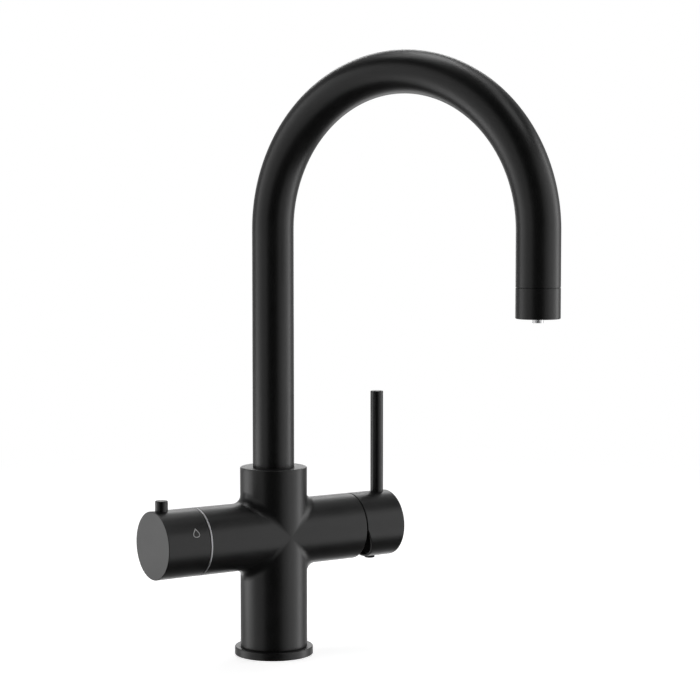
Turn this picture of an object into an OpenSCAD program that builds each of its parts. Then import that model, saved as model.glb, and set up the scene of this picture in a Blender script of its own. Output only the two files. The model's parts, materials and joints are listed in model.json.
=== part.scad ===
// Deck-mounted boiling water tap: a cross-shaped cast body with a swivelling swan-neck spout,
// a one-lever mixer on the right arm and a boiling water knob with a safety button on the left arm.
// Millimetres. +Z is up, +X runs out along the mixer arm, the user stands at -Y.
// The origin is the centre of the base flange's underside, on the axis of the column.

/* [Body] */
// Radius of the column and of both arms
body_r = 23; // [22:0.5:26]
// Height of the body's flat top above the worktop
body_top = 130; // [126:1:150]
// Height of the arms' axis above the worktop
arm_z = 83.5; // [80:0.5:86]
// Distance from the column's axis to the end of the mixer arm
arm_end = 62.5; // [60:0.5:70]
// Radius of the cast fillets between column and arms
fillet_r = 8; // [5:0.5:10]
// Chamfer on the body's outer edges
body_chamfer = 0.4; // [0.2:0.1:0.8]

/* [Base] */
// How far the base flange reaches past the column
flange_lip = 4; // [2:0.5:8]
// Thickness of the base flange
flange_t = 5.5; // [4.5:0.5:8]
// Wall of the column round the inlet block
column_wall = 4; // [3:0.25:5]
// Width of the gasket's groove
gasket_w = 3; // [2:0.5:3.5]
// Thickness of the gasket
gasket_t = 2; // [1:0.5:2.5]
// Radius of the threaded socket for the mounting shank
shank_r = 15.2; // [15:0.1:16]
// Depth of the threaded socket for the mounting shank
shank_depth = 12; // [10:1:16]

/* [Waterways] */
// Radius of the four hose ports
port_r = 4.5; // [3:0.25:5]
// Threaded depth of the hose ports
port_depth = 10; // [8:1:14]
// Half the distance between a left and a right hose port
port_x = 5.5; // [5.25:0.25:6]
// Half the distance between a front and a back hose port
port_y = 8; // [7.5:0.25:8.5]
// Radius of the drillings from the hose ports
feed_r = 2.75; // [2:0.25:3]
// Radius of the drilling that brings mixed water to the spout
mixed_r = 3.5; // [3:0.25:4]
// Radius of the drilling that brings boiling water to the spout
boiling_r = 2.4; // [2:0.1:2.6]
// Radius of the chamber below the spout
chamber_r = 7.5; // [6.5:0.25:8]

/* [Spout] */
// Radius of the spout tube
spout_r = 14.25; // [13.5:0.25:15]
// Wall of the spout tube
spout_wall = 1.5; // [1:0.1:2]
// Reach from the column's axis to the outlet's axis
reach = 206; // [170:1:240]
// Height of the swan neck's centre
arch_z = 293; // [270:1:330]
// Height of the outlet's lower edge
outlet_z = 238; // [215:1:255]
// Direction of the spout at rest, from +X
swivel_rest = -68; // [-120:1:-60]
// How far the spout swivels to each side of straight ahead
swivel_half = 150; // [90:5:155]

/* [Swivel joint] */
// Radius of the spigot that turns in the body
spigot_r = 12; // [11.5:0.1:12.5]
// Length of the spigot below its flange
spigot_len = 23; // [22:0.5:26]
// Thickness of the spigot's flange
spigot_flange_t = 1.8; // [1.4:0.2:3]
// Bore of the spigot
spigot_bore_r = 7.5; // [6:0.25:8]
// How far the spout tube reaches into the body
tube_entry = 8; // [6:0.5:10]
// Thickness of the glide washer under the spout
washer_t = 1.2; // [0.8:0.2:2]
// Half thickness of the two spigot seals
spigot_seal_r = 0.85; // [0.7:0.05:1]
// Radius of the spout's lock screw
lock_screw_r = 2.5; // [2:0.25:3]
// Radius of the lock screw's point
lock_point_r = 1.4; // [1:0.1:1.5]

/* [Boiling tube] */
// Outer radius of the tube inside the spout
tube_r = 4; // [3.7:0.1:4.4]
// Outer radius of the nipple that the tube turns on
nipple_r = 3; // [2.7:0.1:3.2]
// Bore radius of the nipple and the nozzle
nipple_bore_r = 2.1; // [1.5:0.1:2.2]

/* [Outlet] */
// Length of the outlet collar
collar_len = 19.4; // [17:0.2:24]
// Open seam between spout tube and collar
collar_seam = 0.6; // [0.3:0.1:1]
// Radius of the aerator insert
aerator_r = 10.9; // [10:0.1:11.4]
// Length of the aerator insert
aerator_len = 11; // [9:0.5:12]
// How far the aerator sits above the collar's edge
aerator_recess = 1; // [0.5:0.25:2]
// Number of jet holes in the aerator
jet_count = 16; // [10:1:18]
// Radius of the jet holes
jet_r = 0.9; // [0.6:0.1:1]
// Radius of the boiling nozzle's tip
nozzle_r = 3.5; // [3:0.1:4]
// How far the nozzle stands below the collar
nozzle_drop = 2.6; // [1.5:0.1:5]

/* [Handles] */
// Running gap between an arm and its handle
handle_gap = 0.5; // [0.4:0.05:1]
// Length of the mixer cap and of the knob
handle_len = 31.6; // [30.5:0.1:36]
// Chamfer on the handles' outer edges
handle_chamfer = 0.3; // [0.1:0.1:0.6]

/* [Mixer lever] */
// Tilt from closed to full flow
tilt = 25; // [20:1:26]
// Wall of the mixer cap round its hollow
cap_wall = 3; // [2:0.25:3.5]
// Depth of the mixer cap's hollow
cap_hollow = 14; // [13:0.5:15]
// Radius of the lever rod
lever_r = 4.5; // [3.5:0.25:5.5]
// Height of the lever rod above the cap
lever_rise = 71.5; // [50:0.5:110]
// Distance from the cap's outer face to the rod's axis
lever_inset = 8.2; // [7:0.1:9]
// Half the side of the square lever stem
stem_half = 4; // [3.5:0.25:4.25]
// Radius of the stem's ball foot
foot_r = 3; // [2.6:0.1:3.2]
// Distance from the pivot to the ball foot
foot_arm = 12; // [11.5:0.1:12.5]
// Radius of the pivot pin
pivot_r = 2; // [1.5:0.1:2.2]
// Radius of the plug under the cap
plug_r = 3.6; // [3:0.1:4]
// How far the plug stands out of the cap
plug_proud = 1.4; // [0.6:0.1:2]

/* [Mixer cartridge] */
// Wall of the arm round the cartridge
arm_wall = 5.5; // [5:0.1:6]
// Wall of the cartridge housing
cart_wall = 1.2; // [1:0.1:1.4]
// Height of the cartridge base
cart_base_t = 7; // [6:0.5:8]
// Thickness of the fixed ceramic disc
disc_t = 4; // [3:0.25:4.5]
// Thickness of the moving ceramic disc
moving_t = 3.5; // [3:0.25:4]
// Free room round the moving disc at the ends of its travel
disc_room = 0.9; // [0.6:0.1:1.5]
// Thickness of the disc driver
driver_t = 7; // [7:0.25:8]
// Thickness of the turning carrier's flange
carrier_t = 3.8; // [3:0.2:5]
// How much narrower than the cartridge's bore the turning carrier's neck is
neck_step = 4.8; // [4.4:0.1:5.2]
// Thread length of the cartridge nut
cart_nut_t = 4; // [3:0.25:5]
// Wall of the arm round the cartridge nut's thread
nut_wall = 4; // [3.5:0.1:4.5]

/* [Boiling valve] */
// Wall of the arm round the valve
valve_arm_wall = 8; // [7:0.25:9]
// Wall of the valve housing
valve_wall = 1.5; // [1.2:0.1:1.8]
// Height of the valve base
valve_base_t = 5; // [4:0.5:6]
// Thickness of each ceramic disc in the valve
valve_disc_t = 3.5; // [3:0.25:4]
// Thickness of the spindle's driving plate
spindle_plate_t = 4; // [3:0.25:5]
// Radius of the valve spindle
spindle_r = 5; // [4.5:0.1:5.5]
// Half the side of the spindle's square end
spindle_half = 3.2; // [2.8:0.1:3.5]
// Wall of the stop ring's sleeve on the valve housing's neck
stop_sleeve_wall = 4.4; // [4:0.1:4.8]
// Wall of the arm round the valve nut's thread
valve_nut_wall = 6.5; // [6:0.25:6.75]
// Thread length of the valve nut
valve_nut_t = 10.5; // [8:0.5:12]
// Width of the polished ring between knob and arm
ring_w = 1.2; // [0.8:0.1:2]

/* [Control knob] */
// Wall of the knob round its hollow
knob_wall = 6; // [5.5:0.25:6.5]
// Thickness of the knob's closed end
knob_end_t = 3; // [2.5:0.25:3.5]
// How far the knob turns each way
knob_half_turn = 90; // [60:5:90]
// Free room between the stop ring and the knob
stop_room = 3.6; // [3.4:0.1:3.8]
// Wall of the stop ring
stop_wall = 2.2; // [1.8:0.1:2.4]

/* [Safety button] */
// Radius of the safety button
button_r = 4.25; // [3.75:0.05:4.5]
// Height of the button above the knob
button_rise = 6.8; // [5:0.1:9]
// Travel of the button
button_travel = 2.5; // [2:0.1:2.6]
// Distance from the knob's outer face to the button's axis
button_inset = 7; // [6.8:0.1:7.6]
// Radius of the locking pin
lock_pin_r = 1.5; // [1.2:0.1:1.6]
// Coils of the button's spring
spring_turns = 6; // [5:1:7]

/* [Hidden] */
$fn = 96;

// Finishes, shown as plain colours
satin_black = [0.09, 0.09, 0.095];
polished = [0.8, 0.81, 0.83];
brass = [0.78, 0.64, 0.36];
ceramic = [0.93, 0.92, 0.88];
white_plastic = [0.86, 0.87, 0.88];
grey_plastic = [0.45, 0.47, 0.5];
black_rubber = [0.05, 0.05, 0.05];

// Clearances: a snug seat inside one body, a running fit between bodies, a free gap
snug = 0.03;
run = 0.07;
free = 0.3;
eps = 0.01;
// Play of what slides in a slot, and of a cartridge in its chamber
slide = 0.15;
chamber_play = 0.1;
// How far a cutter runs past the face that it opens, and a joined solid into its neighbour
over = 1;

// Chamfers of turned pieces, from a broken edge to one that leads into a bore
fine_edge = 0.2;
edge = 0.3;
lead_edge = 0.4;
soft_edge = 0.5;
flange_edge = 0.6;
ring_edge = 0.15;

// Base
inlet_r = body_r - column_wall;
flange_r = body_r + flange_lip;
gasket_r = (inlet_r + flange_r) / 2;

// Waterways
inlet_cap = 8;
inlet_top = shank_depth + port_depth + inlet_cap;
port_ring = port_y;
mixed_z = arm_z + port_ring;
boiling_z = arm_z - port_ring;
chamber_floor_z = mixed_z - mixed_r;
spigot_room = 2;

// Swivel joint, measured down from the body's top
flange_under_z = body_top - tube_entry - spigot_flange_t;
tube_foot_z = body_top - tube_entry;
seat_z = flange_under_z - washer_t - 2 * run;
spigot_bottom_z = flange_under_z - spigot_len;
bore_r = spigot_r + run;
tube_bore_r = spout_r - spout_wall;
sleeve_len = 14;
seal_groove_w = 2 * spigot_seal_r + 2 * free;
seal_groove_r = spigot_r - 2 * spigot_seal_r;
seal_pitch = 6.5;
lock_play = 0.8;
lock_groove_w = 2 * lock_point_r + lock_play;
lock_groove_depth = 2.4;
lock_groove_r = spigot_r - lock_groove_depth;
lock_land = 3;
lock_z = seat_z - lock_land - lock_groove_w / 2;
seal_land = 2.4;
seal_top_z = lock_z - lock_groove_w / 2 - seal_land - seal_groove_w / 2;
lock_screw_sink = 0.6;
lock_screw_azimuth = 90;
ahead = -90;
swivel_low = ahead - swivel_half - swivel_rest;
swivel_high = ahead + swivel_half - swivel_rest;
lock_margin_angle = 2;
point_angle = asin(lock_point_r / lock_groove_r) + lock_margin_angle;

// Boiling tube and its turning joint with the nipple
tube_bore = nipple_r + run;
tube_lift = 1;
tube_start_z = spigot_bottom_z + tube_lift;
nipple_reach = 9;
nipple_top_z = tube_start_z + nipple_reach;
nipple_press = 9;
nipple_bottom_z = chamber_floor_z - nipple_press;
nipple_collar_w = 1.4;
nipple_collar_t = 2;

// Outlet, measured up from the collar's lower edge
collar_bore_r = aerator_r + snug;
collar_neck_len = 8;
waist_step = 2;
collar_waist_r = collar_bore_r - waist_step;
collar_round = 0.8;
seal_t = 1.5;
aerator_z = aerator_recess;
aerator_top = aerator_z + aerator_len;
collar_step = aerator_top + seal_t;
aerator_skirt = 2;
aerator_wall = 1.2;
nozzle_body_r = 5.5;
nozzle_seat = 1;
nozzle_shoulder = aerator_z + nozzle_seat;
tube_gap = 1;
tube_end = aerator_top + tube_gap;
barb_len = 10;
barb_top = tube_end + barb_len;
barb_start = tube_end + 2;
barb_count = 3;
barb_pitch = 2.4;
barb_t = 1.8;
barb_taper = 0.2;
ferrule_len = 5;
ferrule_wall = 0.9;
jet_ring = (nozzle_body_r + aerator_r) / 2;
tube_end_z = outlet_z + collar_len + collar_seam;

// Handles, measured out along the arms
handle_start = arm_end + handle_gap;
handle_end = handle_start + handle_len;
left_end = arm_end - ring_w;

// Mixer cartridge, stacked outwards from the chamber's floor
seal_lift = 0.3;
disc_gap = 0.05;
cart_flange_t = 3;
cart_shoulder_t = 2;
nut_recess = 0.3;
thread_run_out = 0.5;
driver_room = 0.36;
cart_height = seal_lift + cart_base_t + disc_t + disc_gap + moving_t + driver_t + driver_room + carrier_t
    + free + cart_shoulder_t;
chamber_floor = arm_end - nut_recess - cart_nut_t - cart_height;
cart_r = body_r - arm_wall;
cart_bore_r = cart_r - cart_wall;
cart_chamber_r = cart_r + chamber_play;
cart_nut_r = body_r - nut_wall;
base_z = chamber_floor + seal_lift;
disc_z = base_z + cart_base_t;
moving_z = disc_z + disc_t + disc_gap;
driver_z = moving_z + moving_t;
carrier_z = driver_z + driver_t + driver_room;
shoulder_z = carrier_z + carrier_t + free;
nut_z = shoulder_z + cart_shoulder_t;
foot_lift = 1.65;
foot_z = driver_z + foot_r + foot_lift;
pivot_z = foot_z + foot_arm;
half_tilt = tilt / 2;
disc_offset = foot_arm * sin(half_tilt);
moving_r = cart_bore_r - disc_offset - disc_room;
driver_lip = 0.3;
driver_r = moving_r + driver_lip;
driver_flat_depth = 1.4;
driver_flat = moving_r - driver_flat_depth;
drive_pin_r = 1.3;
drive_pin_t = 1.5;
drive_pin_x = -5;
drive_pin_y = 6;
pin_hole_room = 0.1;
rail_bottom = driver_z + free;
rail_half = 9;
neck_out = 3.6;
neck_top = handle_start + neck_out;
neck_r = cart_bore_r - neck_step;
pin_inset = 0.3;
window_x = stem_half / cos(half_tilt) + (neck_top - pivot_z) * tan(half_tilt) + free;
neck_wall = 2;
neck_outer_r = neck_r + run + neck_wall;
neck_lip = 0.6;
nut_play = 0.2;
spanner_half = 1.5;
spanner_depth = 1.5;
spanner_land = 1;
cover_wall = 0.8;
cover_gap = 0.4;
cover_r = cart_nut_r - cover_gap;
cover_top = neck_top - cover_gap;
key_angles = [45, 225];
key_in_r = cart_bore_r - 2.2;
key_out_r = cart_bore_r - 0.6;
key_half = 1.5;
key_play = 0.2;
kidney_inset = 0.2;
mixed_span = 70;
feed_span = 50;
mixing_span = 150;
boiling_span = 130;
mixing_half = 2.5;
port_seal_gap = 0.2;
port_seal_w = 1.2;
port_seal_t = 2;

// Mixer cap and lever
hollow_end = handle_start + cap_hollow;
lever_x = handle_end - lever_inset;
lever_sink = 2.5;
stem_out = 24;
stem_back = 3.4;
stem_room = 0.4;
foot_neck_r = foot_r - 0.5;
stem_top = stem_out * sin(half_tilt) + stem_half * cos(half_tilt);
tenon_r = 3;
tenon_low = stem_top + 1.9;
tenon_room = 0.5;
hub_reach = 5;
hub_lift = stem_half - 0.5;
hub_wall = 3.2;
cap_hub_r = stem_half * sqrt(2) + hub_wall;
set_screw_place = stem_out - 4.7;
set_screw_r = 2.5;
set_screw_len = 9;
set_screw_gap = 0.9;
set_screw_low = stem_half / cos(half_tilt) - set_screw_place * sin(half_tilt) + set_screw_gap;
plug_z = pivot_z + set_screw_place * cos(half_tilt);
plug_len = 5;
plug_lip = 0.4;
plug_room = 0.2;
plug_seat = 0.02;

// Boiling valve, stacked outwards from its chamber's floor
valve_shoulder_t = 3;
valve_flange_t = 2.5;
valve_height = seal_lift + valve_base_t + 2 * valve_disc_t + disc_gap + spindle_plate_t + free
    + valve_shoulder_t;
valve_floor = left_end - valve_nut_t - valve_height;
valve_r = body_r - valve_arm_wall;
valve_chamber_r = valve_r + chamber_play;
valve_bore_r = valve_r - valve_wall;
valve_nut_r = body_r - valve_nut_wall;
cartridge_port_r = (valve_bore_r - port_ring) / 2;
valve_base_z = valve_floor + seal_lift;
valve_disc_z = valve_base_z + valve_base_t;
turning_z = valve_disc_z + valve_disc_t + disc_gap;
plate_z = turning_z + valve_disc_t;
valve_shoulder_z = plate_z + spindle_plate_t + free;
valve_nut_z = valve_shoulder_z + valve_shoulder_t;
nut_flange_r = body_r - 3;
nut_flange_t = 2;
nut_end = arm_end + nut_flange_t;
spanner_hole_r = 1.5;
spanner_hole_depth = 1.4;
knob_bore_r = body_r - knob_wall;
knob_end_z = handle_end - knob_end_t;
hub_len = 7;
hub_z = knob_end_z - hub_len;
valve_neck_gap = 0.5;
valve_neck_top = hub_z - valve_neck_gap;
valve_pin_r = 1.6;
valve_pin_y = 8;
spindle_play = 0.4;
spindle_end_gap = 0.3;
spindle_seal_r = 0.75;
spindle_seal_play = 0.2;
spindle_groove_r = spindle_r - 2 * spindle_seal_r;
spindle_groove_z = valve_shoulder_z + 4;
button_z = handle_end - button_inset;
stop_r = knob_bore_r - stop_room;
stop_in_r = stop_r - stop_wall;
stop_end_gap = 0.4;
square_end_gap = 0.2;
knob_relief_r = nut_flange_r + free + 0.1;
knob_relief_room = 1;
hub_room = 2.7;
hub_r = stop_in_r - hub_room;
valve_neck_r = stop_r - stop_sleeve_wall;
stop_sleeve = 8;
pin_collar_w = 0.8;
collar_pin_r = lock_pin_r + pin_collar_w;
stop_margin_angle = 1;
stop_angle = knob_half_turn + asin((collar_pin_r + free) / (stop_in_r + stop_wall / 2)) + stop_margin_angle;
grub_r = 2;
grub_gap = 0.02;

// Safety button, measured up from the arm's axis
button_floor = knob_bore_r + 1.5;
button_low = button_floor + button_travel + 0.6;
button_wall = 0.85;
pin_socket = 2;
pin_socket_room = 0.2;
button_top = body_r + button_rise;
spring_room = 5;
spring_ceiling = button_low + spring_room;
spring_wire_r = 0.3;
spring_seat_gap = 0.05;
spring_r = button_r - button_wall - 2 * spring_wire_r;
pin_play = 0.1;
pin_tip = stop_in_r + pin_play;
pin_collar_top = stop_r - pin_play;
clip_r = lock_pin_r + 1.5;
clip_t = 0.6;
clip_groove = 0.4;
clip_slot_half = lock_pin_r - 0.5;
clip_top = sqrt(pow(knob_bore_r, 2) - pow(clip_r, 2)) - slide;

// ---------------------------------------------------------------- shared shapes

// A turned piece: radius r from z0 to z1, with a chamfer c0 at the lower and c1 at the upper edge
module turned(r, z0, z1, c0 = 0, c1 = 0) {
    points = concat(
        [[0, z0]],
        c0 > 0 ? [[r - c0, z0], [r, z0 + c0]] : [[r, z0]],
        c1 > 0 ? [[r, z1 - c1], [r - c1, z1]] : [[r, z1]],
        [[0, z1]]
    );
    rotate_extrude() polygon(points);
}

// A plain bore or shaft from z0 to z1
module shaft(r, z0, z1) {
    translate([0, 0, z0]) cylinder(r = r, h = z1 - z0);
}

// A ring from radius a to radius b, from z0 to z1
module ring(a, b, z0, z1) {
    rotate_extrude() translate([a, z0]) square([b - a, z1 - z0]);
}

// A round seal of section radius s on the ring radius r, at height z
module round_seal(r, s, z) {
    translate([0, 0, z]) rotate_extrude() translate([r, 0]) circle(r = s, $fn = 48);
}

// A box by its low and high corners
module block(low, high) {
    translate(low) cube(high - low);
}

// Half width across a grub screw's socket, as a share of the screw's radius
hex_share = 0.58;

// A grub screw with a hexagon socket at its outer end, from z0 (point) to z1 (socket)
module grub_screw(r, z0, z1) {
    difference() {
        turned(r, z0, z1, r / 4, r / 6);
        translate([0, 0, z1 - r]) cylinder(r = hex_share * r, h = r + eps, $fn = 6);
    }
}

// Local frame of the mixer arm: z runs outwards, x is up
module on_mixer() {
    translate([0, 0, arm_z]) rotate([0, 90, 0]) rotate([0, 0, 180]) children();
}

// Local frame of the valve arm: z runs outwards, x is up
module on_valve() {
    translate([0, 0, arm_z]) rotate([0, -90, 0]) children();
}

// Local frame of the spout at rest: x runs towards the outlet
module on_spout() {
    rotate([0, 0, swivel_rest]) children();
}

// Local frame of the outlet: z is up from the collar's lower edge
module on_outlet() {
    on_spout() translate([reach, 0, outlet_z]) children();
}

// The lever stem's frame: z runs outwards from the pivot along the tilted stem
module on_stem() {
    on_mixer() translate([0, 0, pivot_z]) rotate([0, half_tilt, 0]) children();
}

// A swan neck of radius r from height z0 over the arch down to height z1
module swan_neck(r, z0, z1) {
    shaft(r, z0, arch_z);
    translate([reach / 2, 0, arch_z]) rotate([90, 0, 0])
        rotate_extrude(angle = 180) translate([reach / 2, 0]) circle(r = r);
    translate([reach, 0, 0]) shaft(r, z1, arch_z);
}

// The places of the mixer's three ports: the mixed water's, the cold one's and the hot one's
module port_places() {
    for (a = [0, 90, -90]) rotate([0, 0, a]) translate([port_ring, 0, 0]) children();
}

// ---------------------------------------------------------------- cast fillet

// The fillet is what a ball leaves when it rolls along the valley between two equal crossing
// cylinders. Its centre stays fillet_r away from both, at (c, y, c) with c^2 + y^2 = (r + fillet_r)^2.
// The solid is set fillet_bury below both surfaces, so that it meets them at a small angle.
fillet_bury = 0.06;
fillet_arc = 6;
fillet_steps = 20;
fillet_end = 84;
fillet_root = 0.6;

function fillet_point(a, t, r, f) =
    let (
        s = r + f,
        c = s * cos(a),
        y = s * sin(a),
        wrap = acos(pow(sin(a), 2)),
        u = sin((1 - t) * wrap) / sin(wrap),
        v = sin(t * wrap) / sin(wrap)
    )
    [c - f * u * cos(a), y - f * (u + v) * sin(a), c - f * v * cos(a)];

function fillet_station(a, r, f) = concat(
    [for (k = [0 : fillet_arc]) fillet_point(a, k / fillet_arc, r, f)],
    [[fillet_root * r * cos(a), r * sin(a), fillet_root * r * cos(a)]]
);

module fillet_corner() {
    r = body_r - fillet_bury;
    side = fillet_arc + 2;
    angles = [for (i = [0 : fillet_steps]) -fillet_end + 2 * fillet_end * i / fillet_steps];
    points = [for (a = angles) each fillet_station(a, r, fillet_r)];
    last = fillet_steps * side;
    wall = [for (i = [0 : fillet_steps - 1], k = [0 : side - 1])
        let (a = i * side + k, b = i * side + (k + 1) % side)
        each [[a, b + side, b], [a, a + side, b + side]]];
    ends = [for (k = [0 : fillet_arc - 1])
        each [[side - 1, k, k + 1], [last + side - 1, last + k + 1, last + k]]];
    polyhedron(points = points, faces = concat(wall, ends));
}

// ---------------------------------------------------------------- base and body

module base_flange() {
    color(satin_black) difference() {
        turned(flange_r, 0, flange_t, fine_edge, flange_edge);
        shaft(inlet_r, -over, flange_t + over);
        ring(gasket_r - gasket_w / 2, gasket_r + gasket_w / 2, -over, gasket_t);
    }
}

module base_gasket() {
    color(black_rubber) ring(gasket_r - gasket_w / 2 + snug, gasket_r + gasket_w / 2 - snug, 0, gasket_t);
}

module body_outside() {
    turned(body_r, flange_t, body_top, body_chamfer, body_chamfer);
    translate([0, 0, arm_z]) rotate([0, 90, 0]) turned(body_r, -left_end, arm_end, fine_edge, fine_edge);
    translate([0, 0, arm_z]) for (x = [0, 1], z = [0, 1])
        mirror([x, 0, 0]) mirror([0, 0, z]) fillet_corner();
}

module waterways() {
    for (x = [-1, 1], y = [-1, 1]) {
        translate([x * port_x, y * port_y, 0]) {
            shaft(port_r, shank_depth - over, shank_depth + port_depth);
            shaft(feed_r, shank_depth + port_depth - over, arm_z);
            translate([0, 0, arm_z]) sphere(r = feed_r);
        }
    }
    for (y = [-1, 1]) {
        on_mixer() translate([0, y * port_y, 0]) shaft(feed_r, port_x, chamber_floor + over);
        on_valve() translate([0, y * port_y, 0]) shaft(feed_r, port_x, valve_floor + over);
    }
    on_mixer() translate([port_ring, 0, 0]) shaft(mixed_r, 0, chamber_floor + over);
    on_valve() translate([-port_ring, 0, 0]) shaft(boiling_r, 0, valve_floor + over);
    shaft(boiling_r, boiling_z, chamber_floor_z);
    shaft(nipple_r + snug, nipple_bottom_z, chamber_floor_z + over);
    shaft(chamber_r, chamber_floor_z, seat_z);
}

module inlet_block() {
    color(brass) difference() {
        turned(inlet_r - snug, 0, inlet_top, fine_edge, soft_edge);
        shaft(shank_r, -over, shank_depth);
        waterways();
    }
}

module body_casting() {
    color(satin_black) difference() {
        body_outside();
        shaft(inlet_r, flange_t - over, inlet_top);
        waterways();
        shaft(bore_r, spigot_bottom_z - spigot_room, body_top);
        shaft(spout_r + run, seat_z, body_top + over);
        on_mixer() {
            shaft(cart_chamber_r, chamber_floor, arm_end + over);
            shaft(cart_nut_r + snug, nut_z - thread_run_out, arm_end + over);
        }
        on_valve() {
            shaft(valve_chamber_r, valve_floor, left_end + over);
            shaft(valve_nut_r + snug, valve_nut_z - thread_run_out, left_end + over);
        }
        rotate([0, 0, lock_screw_azimuth]) translate([0, 0, lock_z]) rotate([0, 90, 0])
            shaft(lock_screw_r + snug, bore_r - over, body_r + over);
    }
}

module spout_lock_screw() {
    color(polished) rotate([0, 0, lock_screw_azimuth]) translate([0, 0, lock_z]) rotate([0, 90, 0]) {
        grub_screw(lock_screw_r, spigot_r + run, body_r - lock_screw_sink);
        shaft(lock_point_r, lock_groove_r + free, spigot_r + run + over);
    }
}

module glide_washer() {
    color(white_plastic) ring(bore_r + snug, spout_r - snug, seat_z + run, seat_z + run + washer_t);
}

module boiling_nipple() {
    color(brass) difference() {
        union() {
            turned(nipple_r, nipple_bottom_z, nipple_top_z, edge, edge);
            shaft(nipple_r + nipple_collar_w, chamber_floor_z, chamber_floor_z + nipple_collar_t);
        }
        shaft(nipple_bore_r, nipple_bottom_z - over, nipple_top_z + over);
    }
}

// ---------------------------------------------------------------- spout

module spout_spigot() {
    color(brass) on_spout() difference() {
        union() {
            turned(spigot_r, spigot_bottom_z, flange_under_z + over, soft_edge, 0);
            shaft(spout_r, flange_under_z, tube_foot_z);
            turned(tube_bore_r - snug, flange_under_z, tube_foot_z + sleeve_len, 0, soft_edge);
        }
        shaft(spigot_bore_r, spigot_bottom_z - over, tube_foot_z + sleeve_len + over);
        for (k = [0, 1]) translate([0, 0, seal_top_z - k * seal_pitch])
            ring(seal_groove_r, spigot_r + over, -seal_groove_w / 2, seal_groove_w / 2);
        rotate([0, 0, lock_screw_azimuth - swivel_rest - swivel_high - point_angle])
            rotate_extrude(angle = swivel_high - swivel_low + 2 * point_angle)
                translate([lock_groove_r, lock_z - lock_groove_w / 2]) square([spigot_r, lock_groove_w]);
    }
}

module spigot_seals() {
    color(black_rubber) on_spout() for (k = [0, 1])
        round_seal(seal_groove_r + spigot_seal_r + snug, spigot_seal_r, seal_top_z - k * seal_pitch);
}

module spout_tube() {
    color(satin_black) on_spout() difference() {
        swan_neck(spout_r, tube_foot_z, tube_end_z);
        swan_neck(tube_bore_r, tube_foot_z - over, tube_end_z - over);
    }
}

module boiling_tube() {
    color(white_plastic) on_spout() difference() {
        swan_neck(tube_r, tube_start_z, outlet_z + tube_end);
        swan_neck(tube_bore, tube_start_z - over, outlet_z + tube_end - over);
    }
}

module tube_ferrule() {
    color(polished) on_outlet()
        ring(tube_r + snug, tube_r + ferrule_wall, barb_start, barb_start + ferrule_len);
}

// ---------------------------------------------------------------- outlet

module outlet_collar() {
    neck_top_z = collar_len + collar_seam + collar_neck_len;
    color(satin_black) on_outlet() difference() {
        union() {
            rotate_extrude() difference() {
                translate([0, 0]) square([spout_r, collar_len]);
                translate([spout_r - collar_round, 0]) difference() {
                    translate([0, -over]) square([collar_round + over, collar_round + over]);
                    translate([0, collar_round]) circle(r = collar_round, $fn = 48);
                }
            }
            turned(tube_bore_r - snug, collar_len - over, neck_top_z, 0, lead_edge);
        }
        shaft(collar_bore_r, -over, collar_step);
        shaft(collar_waist_r, collar_step - over, neck_top_z + over);
    }
}

module aerator_seal() {
    color(black_rubber) on_outlet() ring(collar_waist_r, aerator_r, aerator_top, collar_step);
}

module aerator_insert() {
    color(grey_plastic) on_outlet() difference() {
        turned(aerator_r, aerator_z, aerator_top, edge, 0);
        shaft(nozzle_body_r + snug, aerator_z - over, aerator_top + over);
        ring(nozzle_body_r + aerator_wall, aerator_r - aerator_wall,
            aerator_z + aerator_skirt, aerator_top + over);
        for (i = [0 : jet_count - 1]) rotate([0, 0, i * 360 / jet_count]) translate([jet_ring, 0, 0])
            shaft(jet_r, aerator_z - over, aerator_z + aerator_skirt + over);
    }
}

module boiling_nozzle() {
    color(polished) on_outlet() difference() {
        union() {
            turned(nozzle_r, -nozzle_drop, nozzle_shoulder + over, lead_edge, 0);
            turned(nozzle_body_r, nozzle_shoulder, aerator_top, edge, edge);
            turned(nipple_r, aerator_top - over, barb_top, 0, lead_edge);
            for (k = [0 : barb_count - 1]) translate([0, 0, barb_start + barb_pitch * k])
                cylinder(r1 = nipple_r + run - snug, r2 = nipple_r - barb_taper, h = barb_t);
        }
        shaft(nipple_bore_r, -nozzle_drop - over, barb_top + over);
    }
}

// ---------------------------------------------------------------- mixer cartridge

// The seal round one port, from z0
module port_seal(z0) {
    inner = cartridge_port_r + port_seal_gap;
    ring(inner, inner + port_seal_w, z0, z0 + port_seal_t);
}

// A port through a cartridge's base from z0 to z1, with the seat of its seal on the floor
module port_bore(z0, z1, floor_z) {
    shaft(cartridge_port_r, z0 - over, z1 + over);
    shaft(cartridge_port_r + port_seal_gap + port_seal_w + snug, z0 - over, floor_z + port_seal_t);
}

module cartridge_seals() {
    color(black_rubber) on_mixer() port_places() port_seal(chamber_floor);
}

module cartridge_base() {
    color(white_plastic) on_mixer() difference() {
        union() {
            turned(cart_r, base_z, base_z + cart_flange_t, edge, 0);
            turned(cart_bore_r - snug, base_z, disc_z, 0, fine_edge);
            for (a = key_angles) rotate([0, 0, a])
                block([key_in_r, -key_half, disc_z - over], [key_out_r, key_half, disc_z + disc_t / 2]);
        }
        port_places() port_bore(base_z, disc_z, chamber_floor);
    }
}

// A kidney-shaped port, which opens further as the moving disc uncovers it
module kidney(a, span, z0, z1) {
    rotate([0, 0, a - span / 2]) rotate_extrude(angle = span)
        translate([port_ring - cartridge_port_r + kidney_inset, z0])
            square([2 * (cartridge_port_r - kidney_inset), z1 - z0]);
}

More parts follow.
